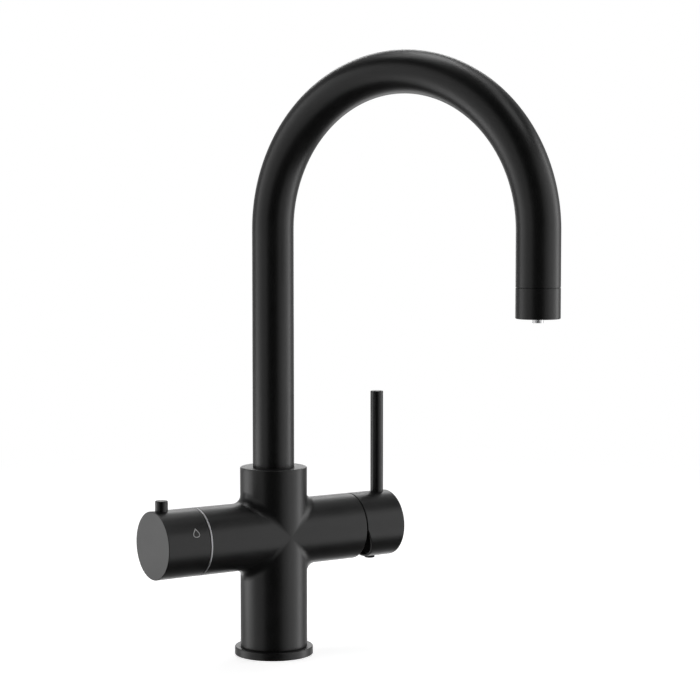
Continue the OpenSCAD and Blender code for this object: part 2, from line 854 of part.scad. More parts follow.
module fixed_ceramic_disc() {
    color(ceramic) on_mixer() difference() {
        turned(cart_bore_r - free, disc_z, disc_z + disc_t);
        kidney(0, mixed_span, disc_z - over, disc_z + disc_t + over);
        for (a = [90, -90]) kidney(a, feed_span, disc_z - over, disc_z + disc_t + over);
        for (a = key_angles) rotate([0, 0, a])
            block([key_in_r - key_play, -key_half - key_play, disc_z - over],
                [cart_bore_r + over, key_half + key_play, disc_z + disc_t / 2 + key_play]);
    }
}

module cartridge_housing() {
    color(grey_plastic) on_mixer() difference() {
        union() {
            turned(cart_r, base_z + cart_flange_t, nut_z, 0, edge);
            turned(neck_outer_r, shoulder_z, neck_top - neck_lip, 0, soft_edge);
        }
        shaft(cart_bore_r, base_z + cart_flange_t - over, shoulder_z);
        shaft(neck_r + run, shoulder_z - over, neck_top + over);
    }
}

module cartridge_nut() {
    color(brass) on_mixer() difference() {
        turned(cart_nut_r, nut_z, arm_end - nut_recess, edge, edge);
        shaft(neck_outer_r + nut_play, nut_z - over, arm_end + over);
        for (a = [0 : 90 : 270]) rotate([0, 0, a])
            block([neck_outer_r + spanner_land, -spanner_half, arm_end - nut_recess - spanner_depth],
                [cart_nut_r - spanner_land, spanner_half, arm_end + over]);
    }
}

module cartridge_cover() {
    wall = cover_wall;
    foot = arm_end - nut_recess;
    seat_r = neck_outer_r + snug;
    color(satin_black) on_mixer() rotate_extrude() polygon([
        [cover_r - wall, foot], [cover_r, foot], [cover_r, foot + wall],
        [neck_outer_r + 2 * wall, cover_top], [seat_r, cover_top],
        [seat_r, cover_top - wall], [neck_outer_r + wall, cover_top - wall],
        [cover_r - wall, foot + wall]
    ]);
}

// The two pins that join the disc driver to the moving disc, in the discs' own frame
module drive_pins(r, depth) {
    for (y = [-drive_pin_y, drive_pin_y]) translate([drive_pin_x, y, 0])
        shaft(r, driver_z - depth, driver_z + over);
}

module moving_ceramic_disc() {
    color(ceramic) on_mixer() translate([-disc_offset, 0, 0]) difference() {
        turned(moving_r, moving_z, driver_z);
        kidney(0, mixing_span, moving_z - over, moving_z + moving_t / 2);
        block([0, -mixing_half, moving_z - over], [port_ring, mixing_half, moving_z + moving_t / 2]);
        drive_pins(drive_pin_r, drive_pin_t + pin_hole_room);
    }
}

module disc_driver() {
    slot = foot_r + slide;
    color(grey_plastic) on_mixer() translate([-disc_offset, 0, 0]) difference() {
        union() {
            intersection() {
                turned(driver_r, driver_z, driver_z + driver_t, fine_edge, soft_edge);
                block([-driver_r - over, -driver_flat, driver_z],
                    [driver_r + over, driver_flat, driver_z + driver_t]);
            }
            drive_pins(drive_pin_r - snug, drive_pin_t);
        }
        block([-slot, -slot, foot_z - foot_r - free], [slot, slot, driver_z + driver_t + over]);
    }
}

module turning_carrier() {
    color(white_plastic) on_mixer() difference() {
        union() {
            turned(cart_bore_r - run, carrier_z, carrier_z + carrier_t, 0, edge);
            turned(neck_r, carrier_z, neck_top, 0, soft_edge);
            intersection() {
                shaft(cart_bore_r - run, rail_bottom, carrier_z + over);
                for (y = [-1, 1]) scale([1, y, 1])
                    block([-rail_half, driver_flat + run, rail_bottom],
                        [rail_half, cart_r, carrier_z + over]);
            }
        }
        block([-window_x, -stem_half - slide, rail_bottom - over],
            [window_x, stem_half + slide, neck_top + over]);
        translate([0, 0, pivot_z]) rotate([90, 0, 0])
            cylinder(r = pivot_r + snug, h = 2 * cart_r, center = true);
    }
}

module pivot_pin() {
    color(polished) on_mixer() translate([0, 0, pivot_z]) rotate([90, 0, 0])
        turned(pivot_r, -neck_r + pin_inset, neck_r - pin_inset, edge, edge);
}

// ---------------------------------------------------------------- mixer lever

module lever_stem() {
    color(polished) on_stem() difference() {
        union() {
            block([-stem_half, -stem_half, -stem_back], [stem_half, stem_half, stem_out]);
            shaft(foot_neck_r, -foot_arm, 0);
            translate([0, 0, -foot_arm]) sphere(r = foot_r);
        }
        rotate([90, 0, 0]) cylinder(r = pivot_r + run, h = 3 * stem_half, center = true);
    }
}

module mixer_cap() {
    reach_out = body_r + 2 * over;
    color(satin_black) difference() {
        on_mixer() difference() {
            turned(body_r, handle_start, handle_end, fine_edge, handle_chamfer);
            difference() {
                shaft(body_r - cap_wall, handle_start - over, hollow_end);
                translate([hub_lift, 0, 0]) shaft(cap_hub_r, hollow_end - hub_reach, hollow_end + over);
            }
            translate([0, 0, handle_start]) rotate([0, 180 + tilt, 0])
                block([-reach_out, -reach_out, 0], [2 * reach_out, reach_out, reach_out]);
            translate([0, 0, lever_x]) rotate([0, 90, 0]) {
                shaft(lever_r + snug, body_r - lever_sink, reach_out);
                shaft(tenon_r + snug, tenon_low - tenon_room, body_r);
            }
            translate([0, 0, plug_z]) rotate([0, -90, 0]) {
                shaft(set_screw_r + snug, 0, body_r);
                shaft(plug_r - plug_lip, body_r - plug_len - plug_room, reach_out);
            }
        }
        on_stem() block([-stem_half - snug, -stem_half - snug, 0],
            [stem_half + snug, stem_half + snug, stem_out + stem_room]);
    }
}

module lever_rod() {
    color(satin_black) on_mixer() translate([0, 0, lever_x]) rotate([0, 90, 0]) {
        turned(lever_r, body_r - lever_sink, body_r + lever_rise, edge, soft_edge);
        turned(tenon_r, tenon_low, body_r - lever_sink + over, lead_edge, 0);
    }
}

module stem_grub_screw() {
    color(polished) on_mixer() translate([0, 0, plug_z]) rotate([0, -90, 0])
        grub_screw(set_screw_r, set_screw_low, set_screw_low + set_screw_len);
}

module cap_plug() {
    color(black_rubber) on_mixer() translate([0, 0, plug_z]) rotate([0, -90, 0]) {
        shaft(plug_r - plug_lip - snug, body_r - plug_len, body_r + plug_proud / 2);
        turned(plug_r, body_r + plug_seat, body_r + plug_proud, 0, soft_edge);
    }
}

// ---------------------------------------------------------------- boiling valve

// The places of the valve's three ports: the spout's, and the two feeds' at its sides
module valve_port_places() {
    for (a = [180, 90, -90]) rotate([0, 0, a]) translate([port_ring, 0, 0]) children();
}

module valve_seals() {
    color(black_rubber) on_valve() valve_port_places() port_seal(valve_floor);
}

module valve_base() {
    color(white_plastic) on_valve() difference() {
        union() {
            turned(valve_r, valve_base_z, valve_base_z + valve_flange_t, edge, 0);
            turned(valve_bore_r - snug, valve_base_z, valve_disc_z, 0, fine_edge);
        }
        valve_port_places() port_bore(valve_base_z, valve_disc_z, valve_floor);
    }
}

module valve_fixed_disc() {
    color(ceramic) on_valve() difference() {
        turned(valve_bore_r - free, valve_disc_z, valve_disc_z + valve_disc_t);
        for (a = [180, 90, -90])
            kidney(a, feed_span, valve_disc_z - over, valve_disc_z + valve_disc_t + over);
    }
}

// The two pins that join the spindle's plate to the turning disc
module valve_pins(r, depth) {
    for (y = [-valve_pin_y, valve_pin_y]) translate([0, y, 0]) shaft(r, plate_z - depth, plate_z + over);
}

module valve_turning_disc() {
    color(ceramic) on_valve() difference() {
        turned(valve_bore_r - free, turning_z, plate_z);
        kidney(0, boiling_span, turning_z - over, turning_z + valve_disc_t / 2);
        valve_pins(valve_pin_r, drive_pin_t + pin_hole_room);
    }
}

module valve_spindle() {
    color(brass) on_valve() difference() {
        union() {
            turned(valve_bore_r - spindle_play, plate_z, plate_z + spindle_plate_t, fine_edge, edge);
            turned(spindle_r, plate_z, valve_neck_top, 0, lead_edge);
            shaft(spindle_half, valve_neck_top - over, knob_end_z - spindle_end_gap);
            block([-spindle_half, -spindle_half, hub_z],
                [spindle_half, spindle_half, knob_end_z - spindle_end_gap]);
            valve_pins(valve_pin_r - snug, drive_pin_t);
        }
        translate([0, 0, spindle_groove_z])
            ring(spindle_groove_r, spindle_r + over,
                -spindle_seal_r - spindle_seal_play, spindle_seal_r + spindle_seal_play);
    }
}

module spindle_seal() {
    color(black_rubber) on_valve()
        round_seal(spindle_groove_r + spindle_seal_r + snug, spindle_seal_r, spindle_groove_z);
}

module valve_housing() {
    color(brass) on_valve() difference() {
        union() {
            turned(valve_r, valve_base_z + valve_flange_t, valve_nut_z, 0, edge);
            turned(valve_neck_r, valve_shoulder_z, valve_neck_top, 0, soft_edge);
        }
        shaft(valve_bore_r, valve_base_z + valve_flange_t - over, valve_shoulder_z);
        shaft(spindle_r + run, valve_shoulder_z - over, valve_neck_top + over);
    }
}

module valve_nut() {
    color(brass) on_valve() difference() {
        union() {
            turned(valve_nut_r, valve_nut_z, arm_end + over, lead_edge, 0);
            turned(nut_flange_r, arm_end, nut_end, 0, lead_edge);
        }
        shaft(valve_neck_r + snug, valve_nut_z - over, nut_end + over);
        for (a = [45 : 90 : 315]) rotate([0, 0, a]) translate([(valve_neck_r + nut_flange_r) / 2, 0, 0])
            shaft(spanner_hole_r, nut_end - spanner_hole_depth, nut_end + over);
    }
}

module trim_ring() {
    color(polished) on_valve() difference() {
        turned(body_r, left_end, arm_end, ring_edge, ring_edge);
        shaft(valve_nut_r + snug, left_end - over, arm_end + over);
    }
}

module stop_ring() {
    color(brass) on_valve() {
        difference() {
            turned(stop_r, valve_neck_top - stop_sleeve, valve_neck_top, lead_edge, 0);
            shaft(valve_neck_r + snug, valve_neck_top - stop_sleeve - over, valve_neck_top + over);
        }
        rotate([0, 0, stop_angle]) rotate_extrude(angle = 360 - 2 * stop_angle)
            translate([stop_in_r, valve_neck_top - eps])
                square([stop_wall, knob_end_z - stop_end_gap - valve_neck_top + eps]);
    }
}

// ---------------------------------------------------------------- knob and safety button

module control_knob() {
    color(satin_black) on_valve() difference() {
        union() {
            difference() {
                turned(body_r, handle_start, handle_end, fine_edge, handle_chamfer);
                shaft(knob_bore_r, handle_start - over, knob_end_z);
                shaft(knob_relief_r, handle_start - over, nut_end + knob_relief_room);
            }
            shaft(hub_r, hub_z, knob_end_z + over);
        }
        block([-spindle_half - snug, -spindle_half - snug, hub_z - over],
            [spindle_half + snug, spindle_half + snug, knob_end_z - square_end_gap]);
        translate([0, 0, button_z]) rotate([0, 90, 0]) {
            shaft(button_r + run, button_floor, body_r + over);
            shaft(lock_pin_r + run, knob_bore_r - over, body_r);
        }
        translate([0, 0, hub_z + hub_len / 2]) rotate([0, -90, 0]) {
            shaft(grub_r + snug, spindle_half, hub_r + over);
            shaft(grub_r + free, knob_bore_r - over, body_r + over);
        }
    }
}

module knob_grub_screw() {
    color(polished) on_valve() translate([0, 0, hub_z + hub_len / 2]) rotate([0, -90, 0])
        grub_screw(grub_r, spindle_half + grub_gap, hub_r - free);
}

module safety_button() {
    color(satin_black) on_valve() translate([0, 0, button_z]) rotate([0, 90, 0]) difference() {
        turned(button_r, button_low, button_top, fine_edge, soft_edge);
        shaft(button_r - button_wall, button_low - over, spring_ceiling);
        shaft(lock_pin_r + snug, spring_ceiling - over, spring_ceiling + pin_socket);
    }
}

module lock_pin() {
    color(polished) on_valve() translate([0, 0, button_z]) rotate([0, 90, 0]) difference() {
        union() {
            turned(lock_pin_r, pin_tip, spring_ceiling + pin_socket - pin_socket_room, fine_edge, edge);
            turned(collar_pin_r, pin_tip, pin_collar_top, edge, edge);
        }
        ring(lock_pin_r - clip_groove, lock_pin_r + over, clip_top - clip_t - snug, clip_top + snug);
    }
}

module pin_clip() {
    color(polished) on_valve() translate([0, 0, button_z]) rotate([0, 90, 0]) difference() {
        ring(lock_pin_r - clip_groove + snug, clip_r, clip_top - clip_t, clip_top);
        block([0, -clip_slot_half, 0], [clip_r + over, clip_slot_half, body_r]);
    }
}

// The spring is one unbroken wire: its centre line climbs a helix between the two seats
function spring_centre(a, low, rise) = [spring_r * cos(a), spring_r * sin(a), low + rise * a / 360];

module button_spring() {
    low = button_floor + spring_wire_r + spring_seat_gap;
    rise = (spring_ceiling - button_floor - 2 * spring_wire_r - 2 * spring_seat_gap) / spring_turns;
    sides = 6;
    steps = 8 * spring_turns;
    points = [for (i = [0 : steps], k = [0 : sides - 1])
        let (a = 360 * spring_turns * i / steps, b = 360 * k / sides, c = spring_centre(a, low, rise))
        c + spring_wire_r * [cos(a) * cos(b), sin(a) * cos(b), sin(b)]];
    wall = [for (i = [0 : steps - 1], k = [0 : sides - 1])
        let (a = i * sides + k, b = i * sides + (k + 1) % sides)
        each [[a, b, b + sides], [a, b + sides, a + sides]]];
    start = [for (k = [sides - 1 : -1 : 0]) k];
    finish = [for (k = [0 : sides - 1]) steps * sides + k];
    color(polished) on_valve() translate([0, 0, button_z]) rotate([0, 90, 0])
        polyhedron(points = points, faces = concat(wall, [start], [finish]));
}

base_flange();
base_gasket();
inlet_block();
body_casting();
spout_lock_screw();
glide_washer();
boiling_nipple();
spout_spigot();
spigot_seals();
spout_tube();
boiling_tube();
tube_ferrule();
outlet_collar();
aerator_seal();
aerator_insert();
boiling_nozzle();
cartridge_seals();
cartridge_base();
fixed_ceramic_disc();
cartridge_housing();
cartridge_nut();
cartridge_cover();
moving_ceramic_disc();
disc_driver();
turning_carrier();
pivot_pin();
lever_stem();
mixer_cap();
lever_rod();
stem_grub_screw();
cap_plug();
valve_seals();
valve_base();
valve_fixed_disc();
valve_housing();
valve_nut();
trim_ring();
stop_ring();
valve_turning_disc();
valve_spindle();
spindle_seal();
control_knob();
knob_grub_screw();
safety_button();
lock_pin();
pin_clip();
button_spring();
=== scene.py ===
"""Looks of a deck-mounted boiling water tap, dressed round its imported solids.

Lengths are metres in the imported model's frame: +Z is up along the column, +X runs out along the mixer arm
and the user stands at -Y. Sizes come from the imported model's boxes and mounts where these hold them. The
others are named here: in metres, as a number times MM, or in plain millimetres where they go into a corner or
a bore, which are given in millimetres. So are PRESS_GAP and RUNNING_GAP, the gaps round pressed and moving
pieces, and PAST_WALL, a distance from an arm's axis that is well outside its wall. THREAD_DEPTH is a thread's
height as a share of its pitch. ROUND_SHARE keeps the arc of a round end just short of the next corner.
"""
import json
import logging
import math
from collections.abc import Callable, Iterable, Sequence
from dataclasses import dataclass, field
from enum import Enum

import bmesh
import bpy
from mathutils import Matrix, Vector


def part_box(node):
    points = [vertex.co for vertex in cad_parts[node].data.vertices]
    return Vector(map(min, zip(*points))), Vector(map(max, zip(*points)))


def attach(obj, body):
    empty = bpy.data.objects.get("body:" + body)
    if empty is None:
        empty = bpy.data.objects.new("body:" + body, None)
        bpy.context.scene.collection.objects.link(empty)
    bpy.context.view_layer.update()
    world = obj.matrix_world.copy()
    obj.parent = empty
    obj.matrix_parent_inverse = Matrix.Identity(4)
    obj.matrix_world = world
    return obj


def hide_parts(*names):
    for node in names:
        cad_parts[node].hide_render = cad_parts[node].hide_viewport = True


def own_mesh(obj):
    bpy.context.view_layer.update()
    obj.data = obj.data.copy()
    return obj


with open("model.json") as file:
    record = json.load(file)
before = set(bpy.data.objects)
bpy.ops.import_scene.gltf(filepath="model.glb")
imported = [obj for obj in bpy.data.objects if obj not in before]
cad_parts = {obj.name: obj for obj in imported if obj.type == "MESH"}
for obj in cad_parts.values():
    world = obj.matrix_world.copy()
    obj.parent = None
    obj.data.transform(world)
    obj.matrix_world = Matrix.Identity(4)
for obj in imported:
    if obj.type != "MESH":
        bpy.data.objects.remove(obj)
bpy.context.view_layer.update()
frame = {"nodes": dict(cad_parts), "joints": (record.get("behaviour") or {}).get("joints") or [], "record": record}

MM = 0.001
QUARTER = math.pi / 2
WELD = 1e-6
PRESS_GAP, RUNNING_GAP = 0.03, 0.07
THREAD_DEPTH = 0.54
ROUND_SHARE = 0.999
PAST_WALL = 26.0
RIGHT, LEFT = Vector((1, 0, 0)), Vector((-1, 0, 0))
UP, DOWN = Vector((0, 0, 1)), Vector((0, 0, -1))
BACK = Vector((0, 1, 0))
Colour = tuple[float, float, float]
Pair = tuple[float, float]
log = logging.getLogger("tap")


# ------------------------------------------------------------------ node sheets


class Wire:
    """An output socket on a node sheet, on which Python's operators place Math nodes."""

    def __init__(self, sheet: "NodeSheet", socket: bpy.types.NodeSocket | None) -> None:
        """Keeps the socket and the sheet that its sums are placed on."""
        self.sheet = sheet
        self.socket = socket

    def of(self, name: str) -> "Wire":
        """Another output of the same node, by its name."""
        return Wire(self.sheet, self.socket.node.outputs[name])

    def maths(self, operation: str, *others: "Wire | float", swap: bool = False) -> "Wire":
        """Sends this value and others through one Math node.

        Args:
            operation: The Math node's operation.
            others: Up to two more operands, wires or numbers.
            swap: Puts this value last, for an operator's reflected form.

        Returns:
            The result's wire.
        """
        operands = (*others, self) if swap else (self, *others)
        return self.sheet.place("ShaderNodeMath", {"operation": operation}, dict(enumerate(operands)))

    def __add__(self, other: "Wire | float") -> "Wire":
        """Sum."""
        return self.maths("ADD", other)

    def __radd__(self, other: float) -> "Wire":
        """Sum with a number on the left."""
        return self.maths("ADD", other, swap=True)

    def __sub__(self, other: "Wire | float") -> "Wire":
        """Difference."""
        return self.maths("SUBTRACT", other)

    def __rsub__(self, other: float) -> "Wire":
        """Difference from a number on the left."""
        return self.maths("SUBTRACT", other, swap=True)

    def __mul__(self, other: "Wire | float") -> "Wire":
        """Product."""
        return self.maths("MULTIPLY", other)

    def __rmul__(self, other: float) -> "Wire":
        """Product with a number on the left."""
        return self.maths("MULTIPLY", other, swap=True)

    def __truediv__(self, other: "Wire | float") -> "Wire":
        """Quotient."""
        return self.maths("DIVIDE", other)

    def __rtruediv__(self, other: float) -> "Wire":
        """Quotient of a number on the left."""
        return self.maths("DIVIDE", other, swap=True)

    def least(self, other: "Wire | float") -> "Wire":
        """The lower of two values."""
        return self.maths("MINIMUM", other)

    def most(self, other: "Wire | float") -> "Wire":
        """The higher of two values."""
        return self.maths("MAXIMUM", other)

    def within(self, low: float, high: float) -> "Wire":
        """This value held between two bounds."""
        return self.most(low).least(high)

    def swell(self, start: float, end: float) -> "Wire":
        """Rises smoothly from 0 to 1 as this value goes from start to end.

        Args:
            start: The value where the rise begins.
            end: The value where it is complete.

        Returns:
            The eased share.
        """
        share = ((self - start) / (end - start)).within(0.0, 1.0)
        return share * share * (3.0 - 2.0 * share)


class NodeSheet:
    """A shader or geometry tree, on which nodes are placed one after another."""

    PITCH = 190.0
    ROW = 14
    NOISE_ROUGHNESS = 0.55

    def __init__(self, tree: bpy.types.NodeTree) -> None:
        """Keeps the tree and counts what is placed on it."""
        self.tree = tree
        self.placed = 0

    @classmethod
    def blank(cls, owner: bpy.types.Material | bpy.types.World) -> "NodeSheet":
        """Turns on the nodes of a material or a world and clears them.

        Args:
            owner: The material or world.

        Returns:
            Its empty sheet.
        """
        owner.use_nodes = True
        owner.node_tree.nodes.clear()
        return cls(owner.node_tree)

    def place(
        self,
        kind: str,
        settings: dict[str, object] | None = None,
        sockets: dict[int | str, object] | None = None,
    ) -> Wire:
        """Places one node.

        Args:
            kind: The node's type.
            settings: Its properties, which are set first.
            sockets: Its inputs by number, name or identifier, each with a value or a wire.

        Returns:
            The first of its outputs that is in use.
        """
        node = self.tree.nodes.new(kind)
        node.location = (self.PITCH * (self.placed % self.ROW), -self.PITCH * (self.placed // self.ROW))
        self.placed += 1
        for name, value in (settings or {}).items():
            setattr(node, name, value)
        for key, value in (sockets or {}).items():
            socket = node.inputs[key] if isinstance(key, int) else self._find(node, key)
            if isinstance(value, Wire):
                self.tree.links.new(value.socket, socket)
            else:
                socket.default_value = value
        return Wire(self, next((s for s in node.outputs if s.enabled), None))

    @staticmethod
    def _find(node: bpy.types.Node, key: str) -> bpy.types.NodeSocket:
        """The input in use that has that name or identifier."""
        return next(s for s in node.inputs if s.enabled and key in (s.name, s.identifier))

    def noise(self, where: Wire, size: float, detail: float) -> Wire:
        """A noise with features of a given size in metres, round 0.5."""
        sockets = {"Vector": where, "Scale": 1.0 / size, "Detail": detail, "Roughness": self.NOISE_ROUGHNESS}
        return self.place("ShaderNodeTexNoise", None, sockets)

    def blend(self, share: Wire, low: Colour, high: Colour) -> Wire:
        """A colour between two others."""
        sockets = {"Factor_Float": share, "A_Color": (*low, 1.0), "B_Color": (*high, 1.0)}
        return self.place("ShaderNodeMix", {"data_type": "RGBA"}, sockets)

    def stretch(self, where: Wire, scale: Sequence[float]) -> Wire:
        """Coordinates scaled apart along X, Y and Z."""
        return self.place("ShaderNodeMapping", None, {"Vector": where, "Scale": tuple(scale)})


class ShapeTree:
    """A Geometry Nodes tree with named sizes, which is run once and baked to a plain mesh."""

    def __init__(self, name: str, sizes: dict[str, float | int]) -> None:
        """Opens the tree.

        Args:
            name: The tree's name.
            sizes: Its named inputs with their values. A whole number makes an integer input.
        """
        self.group = bpy.data.node_groups.new(name, "GeometryNodeTree")
        self.sizes = sizes
        self.identifiers = {}
        face = self.group.interface
        face.new_socket("Geometry", in_out="INPUT", socket_type="NodeSocketGeometry")
        face.new_socket("Geometry", in_out="OUTPUT", socket_type="NodeSocketGeometry")
        for label, value in sizes.items():
            kind = "NodeSocketInt" if isinstance(value, int) else "NodeSocketFloat"
            self.identifiers[label] = face.new_socket(label, in_out="INPUT", socket_type=kind).identifier
        self.sheet = NodeSheet(self.group)
        self.entry = self.sheet.place("NodeGroupInput")

    def size(self, label: str) -> Wire:
        """The wire of one named input."""
        return self.entry.of(label)

    def vector(self, x: Wire | float, y: Wire | float, z: Wire | float) -> Wire:
        """A vector of three values."""
        return self.sheet.place("ShaderNodeCombineXYZ", None, {"X": x, "Y": y, "Z": z})

    def ring(self, radius: Wire, sides: Wire) -> Wire:
        """A circle of points as a curve."""
        sockets = {"Resolution": sides, "Radius": radius}
        return self.sheet.place("GeometryNodeCurvePrimitiveCircle", None, sockets)

    def close(self, geometry: Wire, finish: "Finish") -> "ShapeTree":
        """Ends the tree with real geometry that has its finish on it.

        Args:
            geometry: What the tree has made.
            finish: Its finish.

        Returns:
            This tree.
        """
        real = self.sheet.place("GeometryNodeRealizeInstances", None, {"Geometry": geometry})
        sockets = {"Geometry": real, "Material": finish.material()}
        dressed = self.sheet.place("GeometryNodeSetMaterial", None, sockets)
        self.sheet.place("NodeGroupOutput", None, {"Geometry": dressed})
        return self

    def grow(self, name: str, base: bpy.types.Object | None = None) -> bpy.types.Object:
        """Runs the tree on an object and bakes the result.

        Args:
            name: The new piece's name.
            base: The object whose mesh the tree starts from, or None for an empty one.

        Returns:
            The piece, with a plain mesh and no modifier.
        """
        carrier = base or new_object(name, bpy.data.meshes.new(name))
        carrier.name = name
        modifier = carrier.modifiers.new(self.group.name, "NODES")
        modifier.node_group = self.group
        for label, value in self.sizes.items():
            modifier[self.identifiers[label]] = value
        return bake(carrier)


# ------------------------------------------------------------------ finishes


class Lay(Enum):
    """The way a tool's fine marks run on a turned piece: in rings about this axis."""

    X = (1.0, 0.04, 0.04)
    Z = (0.04, 0.04, 1.0)


@dataclass(frozen=True)
class Finish:
    """What a surface is made of, as one shared procedural material."""

    name: str
    slot: str

    def material(self) -> bpy.types.Material:
        """Finds the material, or builds it the first time that it is asked for.

        Returns:
            The material.
        """
        found = bpy.data.materials.get(self.name)
        if found:
            return found
        material = bpy.data.materials.new(self.name)
        sheet = NodeSheet.blank(material)
        place = sheet.place("ShaderNodeTexCoord").of("Object")
        shader = sheet.place("ShaderNodeBsdfPrincipled", None, self.surface(sheet, place))
        sheet.place("ShaderNodeOutputMaterial", None, {"Surface": shader})
        return material

    def surface(self, sheet: NodeSheet, place: Wire) -> dict[str, object]:
        """Works out what feeds the shader. Each finish has its own way.

        Args:
            sheet: The material's node sheet.
            place: The surface's Object coordinates.

        Returns:
            The shader's inputs by name, as numbers or wires.
        """
        raise NotImplementedError

    @staticmethod
    def relief(sheet: NodeSheet, height: Wire, depth: float) -> Wire:
        """A bump of a given depth in metres from a height between 0 and 1."""
        return sheet.place("ShaderNodeBump", None, {"Strength": 1.0, "Distance": depth, "Height": height})

    @staticmethod
    def uneven(middle: float, *parts: tuple[Wire, float]) -> Wire:
        """Lets noises move a value up and down round its middle.

        Args:
            middle: The value without them.
            parts: Each noise with the spread that it causes.

        Returns:
            The uneven value.
        """
        value = middle
        for noise, spread in parts:
            value = value + (noise - 0.5) * spread
        return value


@dataclass(frozen=True)
class PowderCoat(Finish):
    """Satin black powder coat: a nearly black film with a faint orange peel and an uneven gloss."""

    dark: Colour = (0.0050, 0.0050, 0.0050)
    light: Colour = (0.0078, 0.0078, 0.0078)
    roughness: float = 0.35
    cloud_size: float = 18 * MM
    peel_size: float = 1.6 * MM
    grain_size: float = 0.28 * MM
    cloud_tone: float = 1.6
    grain_tone: float = 0.8
    cloud_gloss: float = 0.07
    grain_gloss: float = 0.08
    peel_share: float = 0.75
    depth: float = 0.012 * MM
    cloud_detail: float = 3.0
    fine_detail: float = 1.0

    def surface(self, sheet: NodeSheet, place: Wire) -> dict[str, object]:
        """Puts clouds in colour and gloss, and orange peel and powder grain in the relief.

        Args:
            sheet: The material's node sheet.
            place: The surface's Object coordinates.

        Returns:
            The shader's inputs by name.
        """
        clouds = sheet.noise(place, self.cloud_size, self.cloud_detail)
        peel = sheet.noise(place, self.peel_size, self.fine_detail)
        grain = sheet.noise(place, self.grain_size, self.fine_detail)
        tone = self.uneven(0.5, (clouds, self.cloud_tone), (grain, self.grain_tone))
        height = peel * self.peel_share + grain * (1 - self.peel_share)
        return {
            "Base Color": sheet.blend(tone.within(0.0, 1.0), self.dark, self.light),
            "Roughness": self.uneven(self.roughness, (clouds, self.cloud_gloss), (grain, self.grain_gloss)),
            "Normal": self.relief(sheet, height, self.depth),
        }


@dataclass(frozen=True)
class TurnedMetal(Finish):
    """Metal off a lathe, with fine rings about its axis."""

    colour: Colour = (0.78, 0.79, 0.80)
    roughness: float = 0.16
    lay: Lay = Lay.Z
    depth: float = 0.0015 * MM
    metallic: float = 1.0
    shade: float = 0.86
    ring_size: float = 0.12 * MM
    cloud_size: float = 6 * MM
    ring_gloss: float = 0.12
    cloud_gloss: float = 0.06
    detail: float = 2.0

    def surface(self, sheet: NodeSheet, place: Wire) -> dict[str, object]:
        """Puts rings in the gloss and the relief, and clouds in the colour.

        Args:
            sheet: The material's node sheet.
            place: The surface's Object coordinates.

        Returns:
            The shader's inputs by name.
        """
        rings = sheet.noise(sheet.stretch(place, self.lay.value), self.ring_size, self.detail)
        clouds = sheet.noise(place, self.cloud_size, self.detail)
        return {
            "Base Color": sheet.blend(clouds, tuple(self.shade * c for c in self.colour), self.colour),
            "Metallic": self.metallic,
            "Roughness": self.uneven(self.roughness, (rings, self.ring_gloss), (clouds, self.cloud_gloss)),
            "Normal": self.relief(sheet, rings, self.depth),
        }


@dataclass(frozen=True)
class Patched(Finish):
    """A finish with patches in its colour and a finer grain in its gloss and relief."""

    low: Colour
    high: Colour
    roughness: float
    unevenness: float
    patch_size: float
    patch_detail: float
    grain_size: float
    grain_detail: float
    depth: float
    patch_edge: Pair | None = None
    specular: float = 0.5

    def surface(self, sheet: NodeSheet, place: Wire) -> dict[str, object]:
        """Puts the patches in the colour and the grain in the gloss and the relief.

        Args:
            sheet: The material's node sheet.
            place: The surface's Object coordinates.

        Returns:
            The shader's inputs by name.
        """
        patches = sheet.noise(place, self.patch_size, self.patch_detail)
        grain = sheet.noise(place, self.grain_size, self.grain_detail)
        share = patches.swell(*self.patch_edge) if self.patch_edge else patches
        return {
            "Base Color": sheet.blend(share, self.low, self.high),
            "Roughness": self.uneven(self.roughness, (grain, self.unevenness)),
            "Specular IOR Level": self.specular,
            "Normal": self.relief(sheet, grain, self.depth),
        }


@dataclass(frozen=True)
class PaintedShadeCoat(Patched):
    """Painted shade inside a cap: a dull coat, darker than the powder coat, with little gloss, faint patches and a
    fine grain.
    """

    low: Colour = (0.0025, 0.0025, 0.0025)
    high: Colour = (0.0045, 0.0045, 0.0045)
    roughness: float = 0.85
    unevenness: float = 0.2
    patch_size: float = 4 * MM
    patch_detail: float = 3.0
    grain_size: float = 0.3 * MM
    grain_detail: float = 2.0
    depth: float = 0.015 * MM
    specular: float = 0.1


@dataclass(frozen=True)
class LappedCeramic(Patched):
    """Lapped alumina: off-white and glossy, with faint mottles and a haze from the lapping."""

    low: Colour = (0.8370, 0.8277, 0.7998)
    high: Colour = (0.90, 0.89, 0.86)
    roughness: float = 0.14
    unevenness: float = 0.1
    patch_size: float = 1.4 * MM
    patch_detail: float = 4.0
    grain_size: float = 0.3 * MM
    grain_detail: float = 2.0
    depth: float = 0.001 * MM


@dataclass(frozen=True)
class MouldedPlastic(Patched):
    """White injection moulded plastic, with clouds from the flow and a spark-eroded mould texture."""

    low: Colour = (0.7820, 0.7912, 0.8004)
    high: Colour = (0.85, 0.86, 0.87)
    roughness: float = 0.42
    unevenness: float = 0.16
    patch_size: float = 7 * MM
    patch_detail: float = 3.0
    grain_size: float = 0.22 * MM
    grain_detail: float = 2.0
    depth: float = 0.012 * MM


@dataclass(frozen=True)
class Rubber(Patched):
    """Black sealing rubber: dull, with a little bloom and a leathery skin."""

    low: Colour = (0.016, 0.016, 0.017)
    high: Colour = (0.035, 0.035, 0.036)
    roughness: float = 0.72
    unevenness: float = 0.15
    patch_size: float = 3 * MM
    patch_detail: float = 4.0
    grain_size: float = 0.35 * MM
    grain_detail: float = 3.0
    depth: float = 0.02 * MM
    patch_edge: Pair | None = (0.4, 0.75)


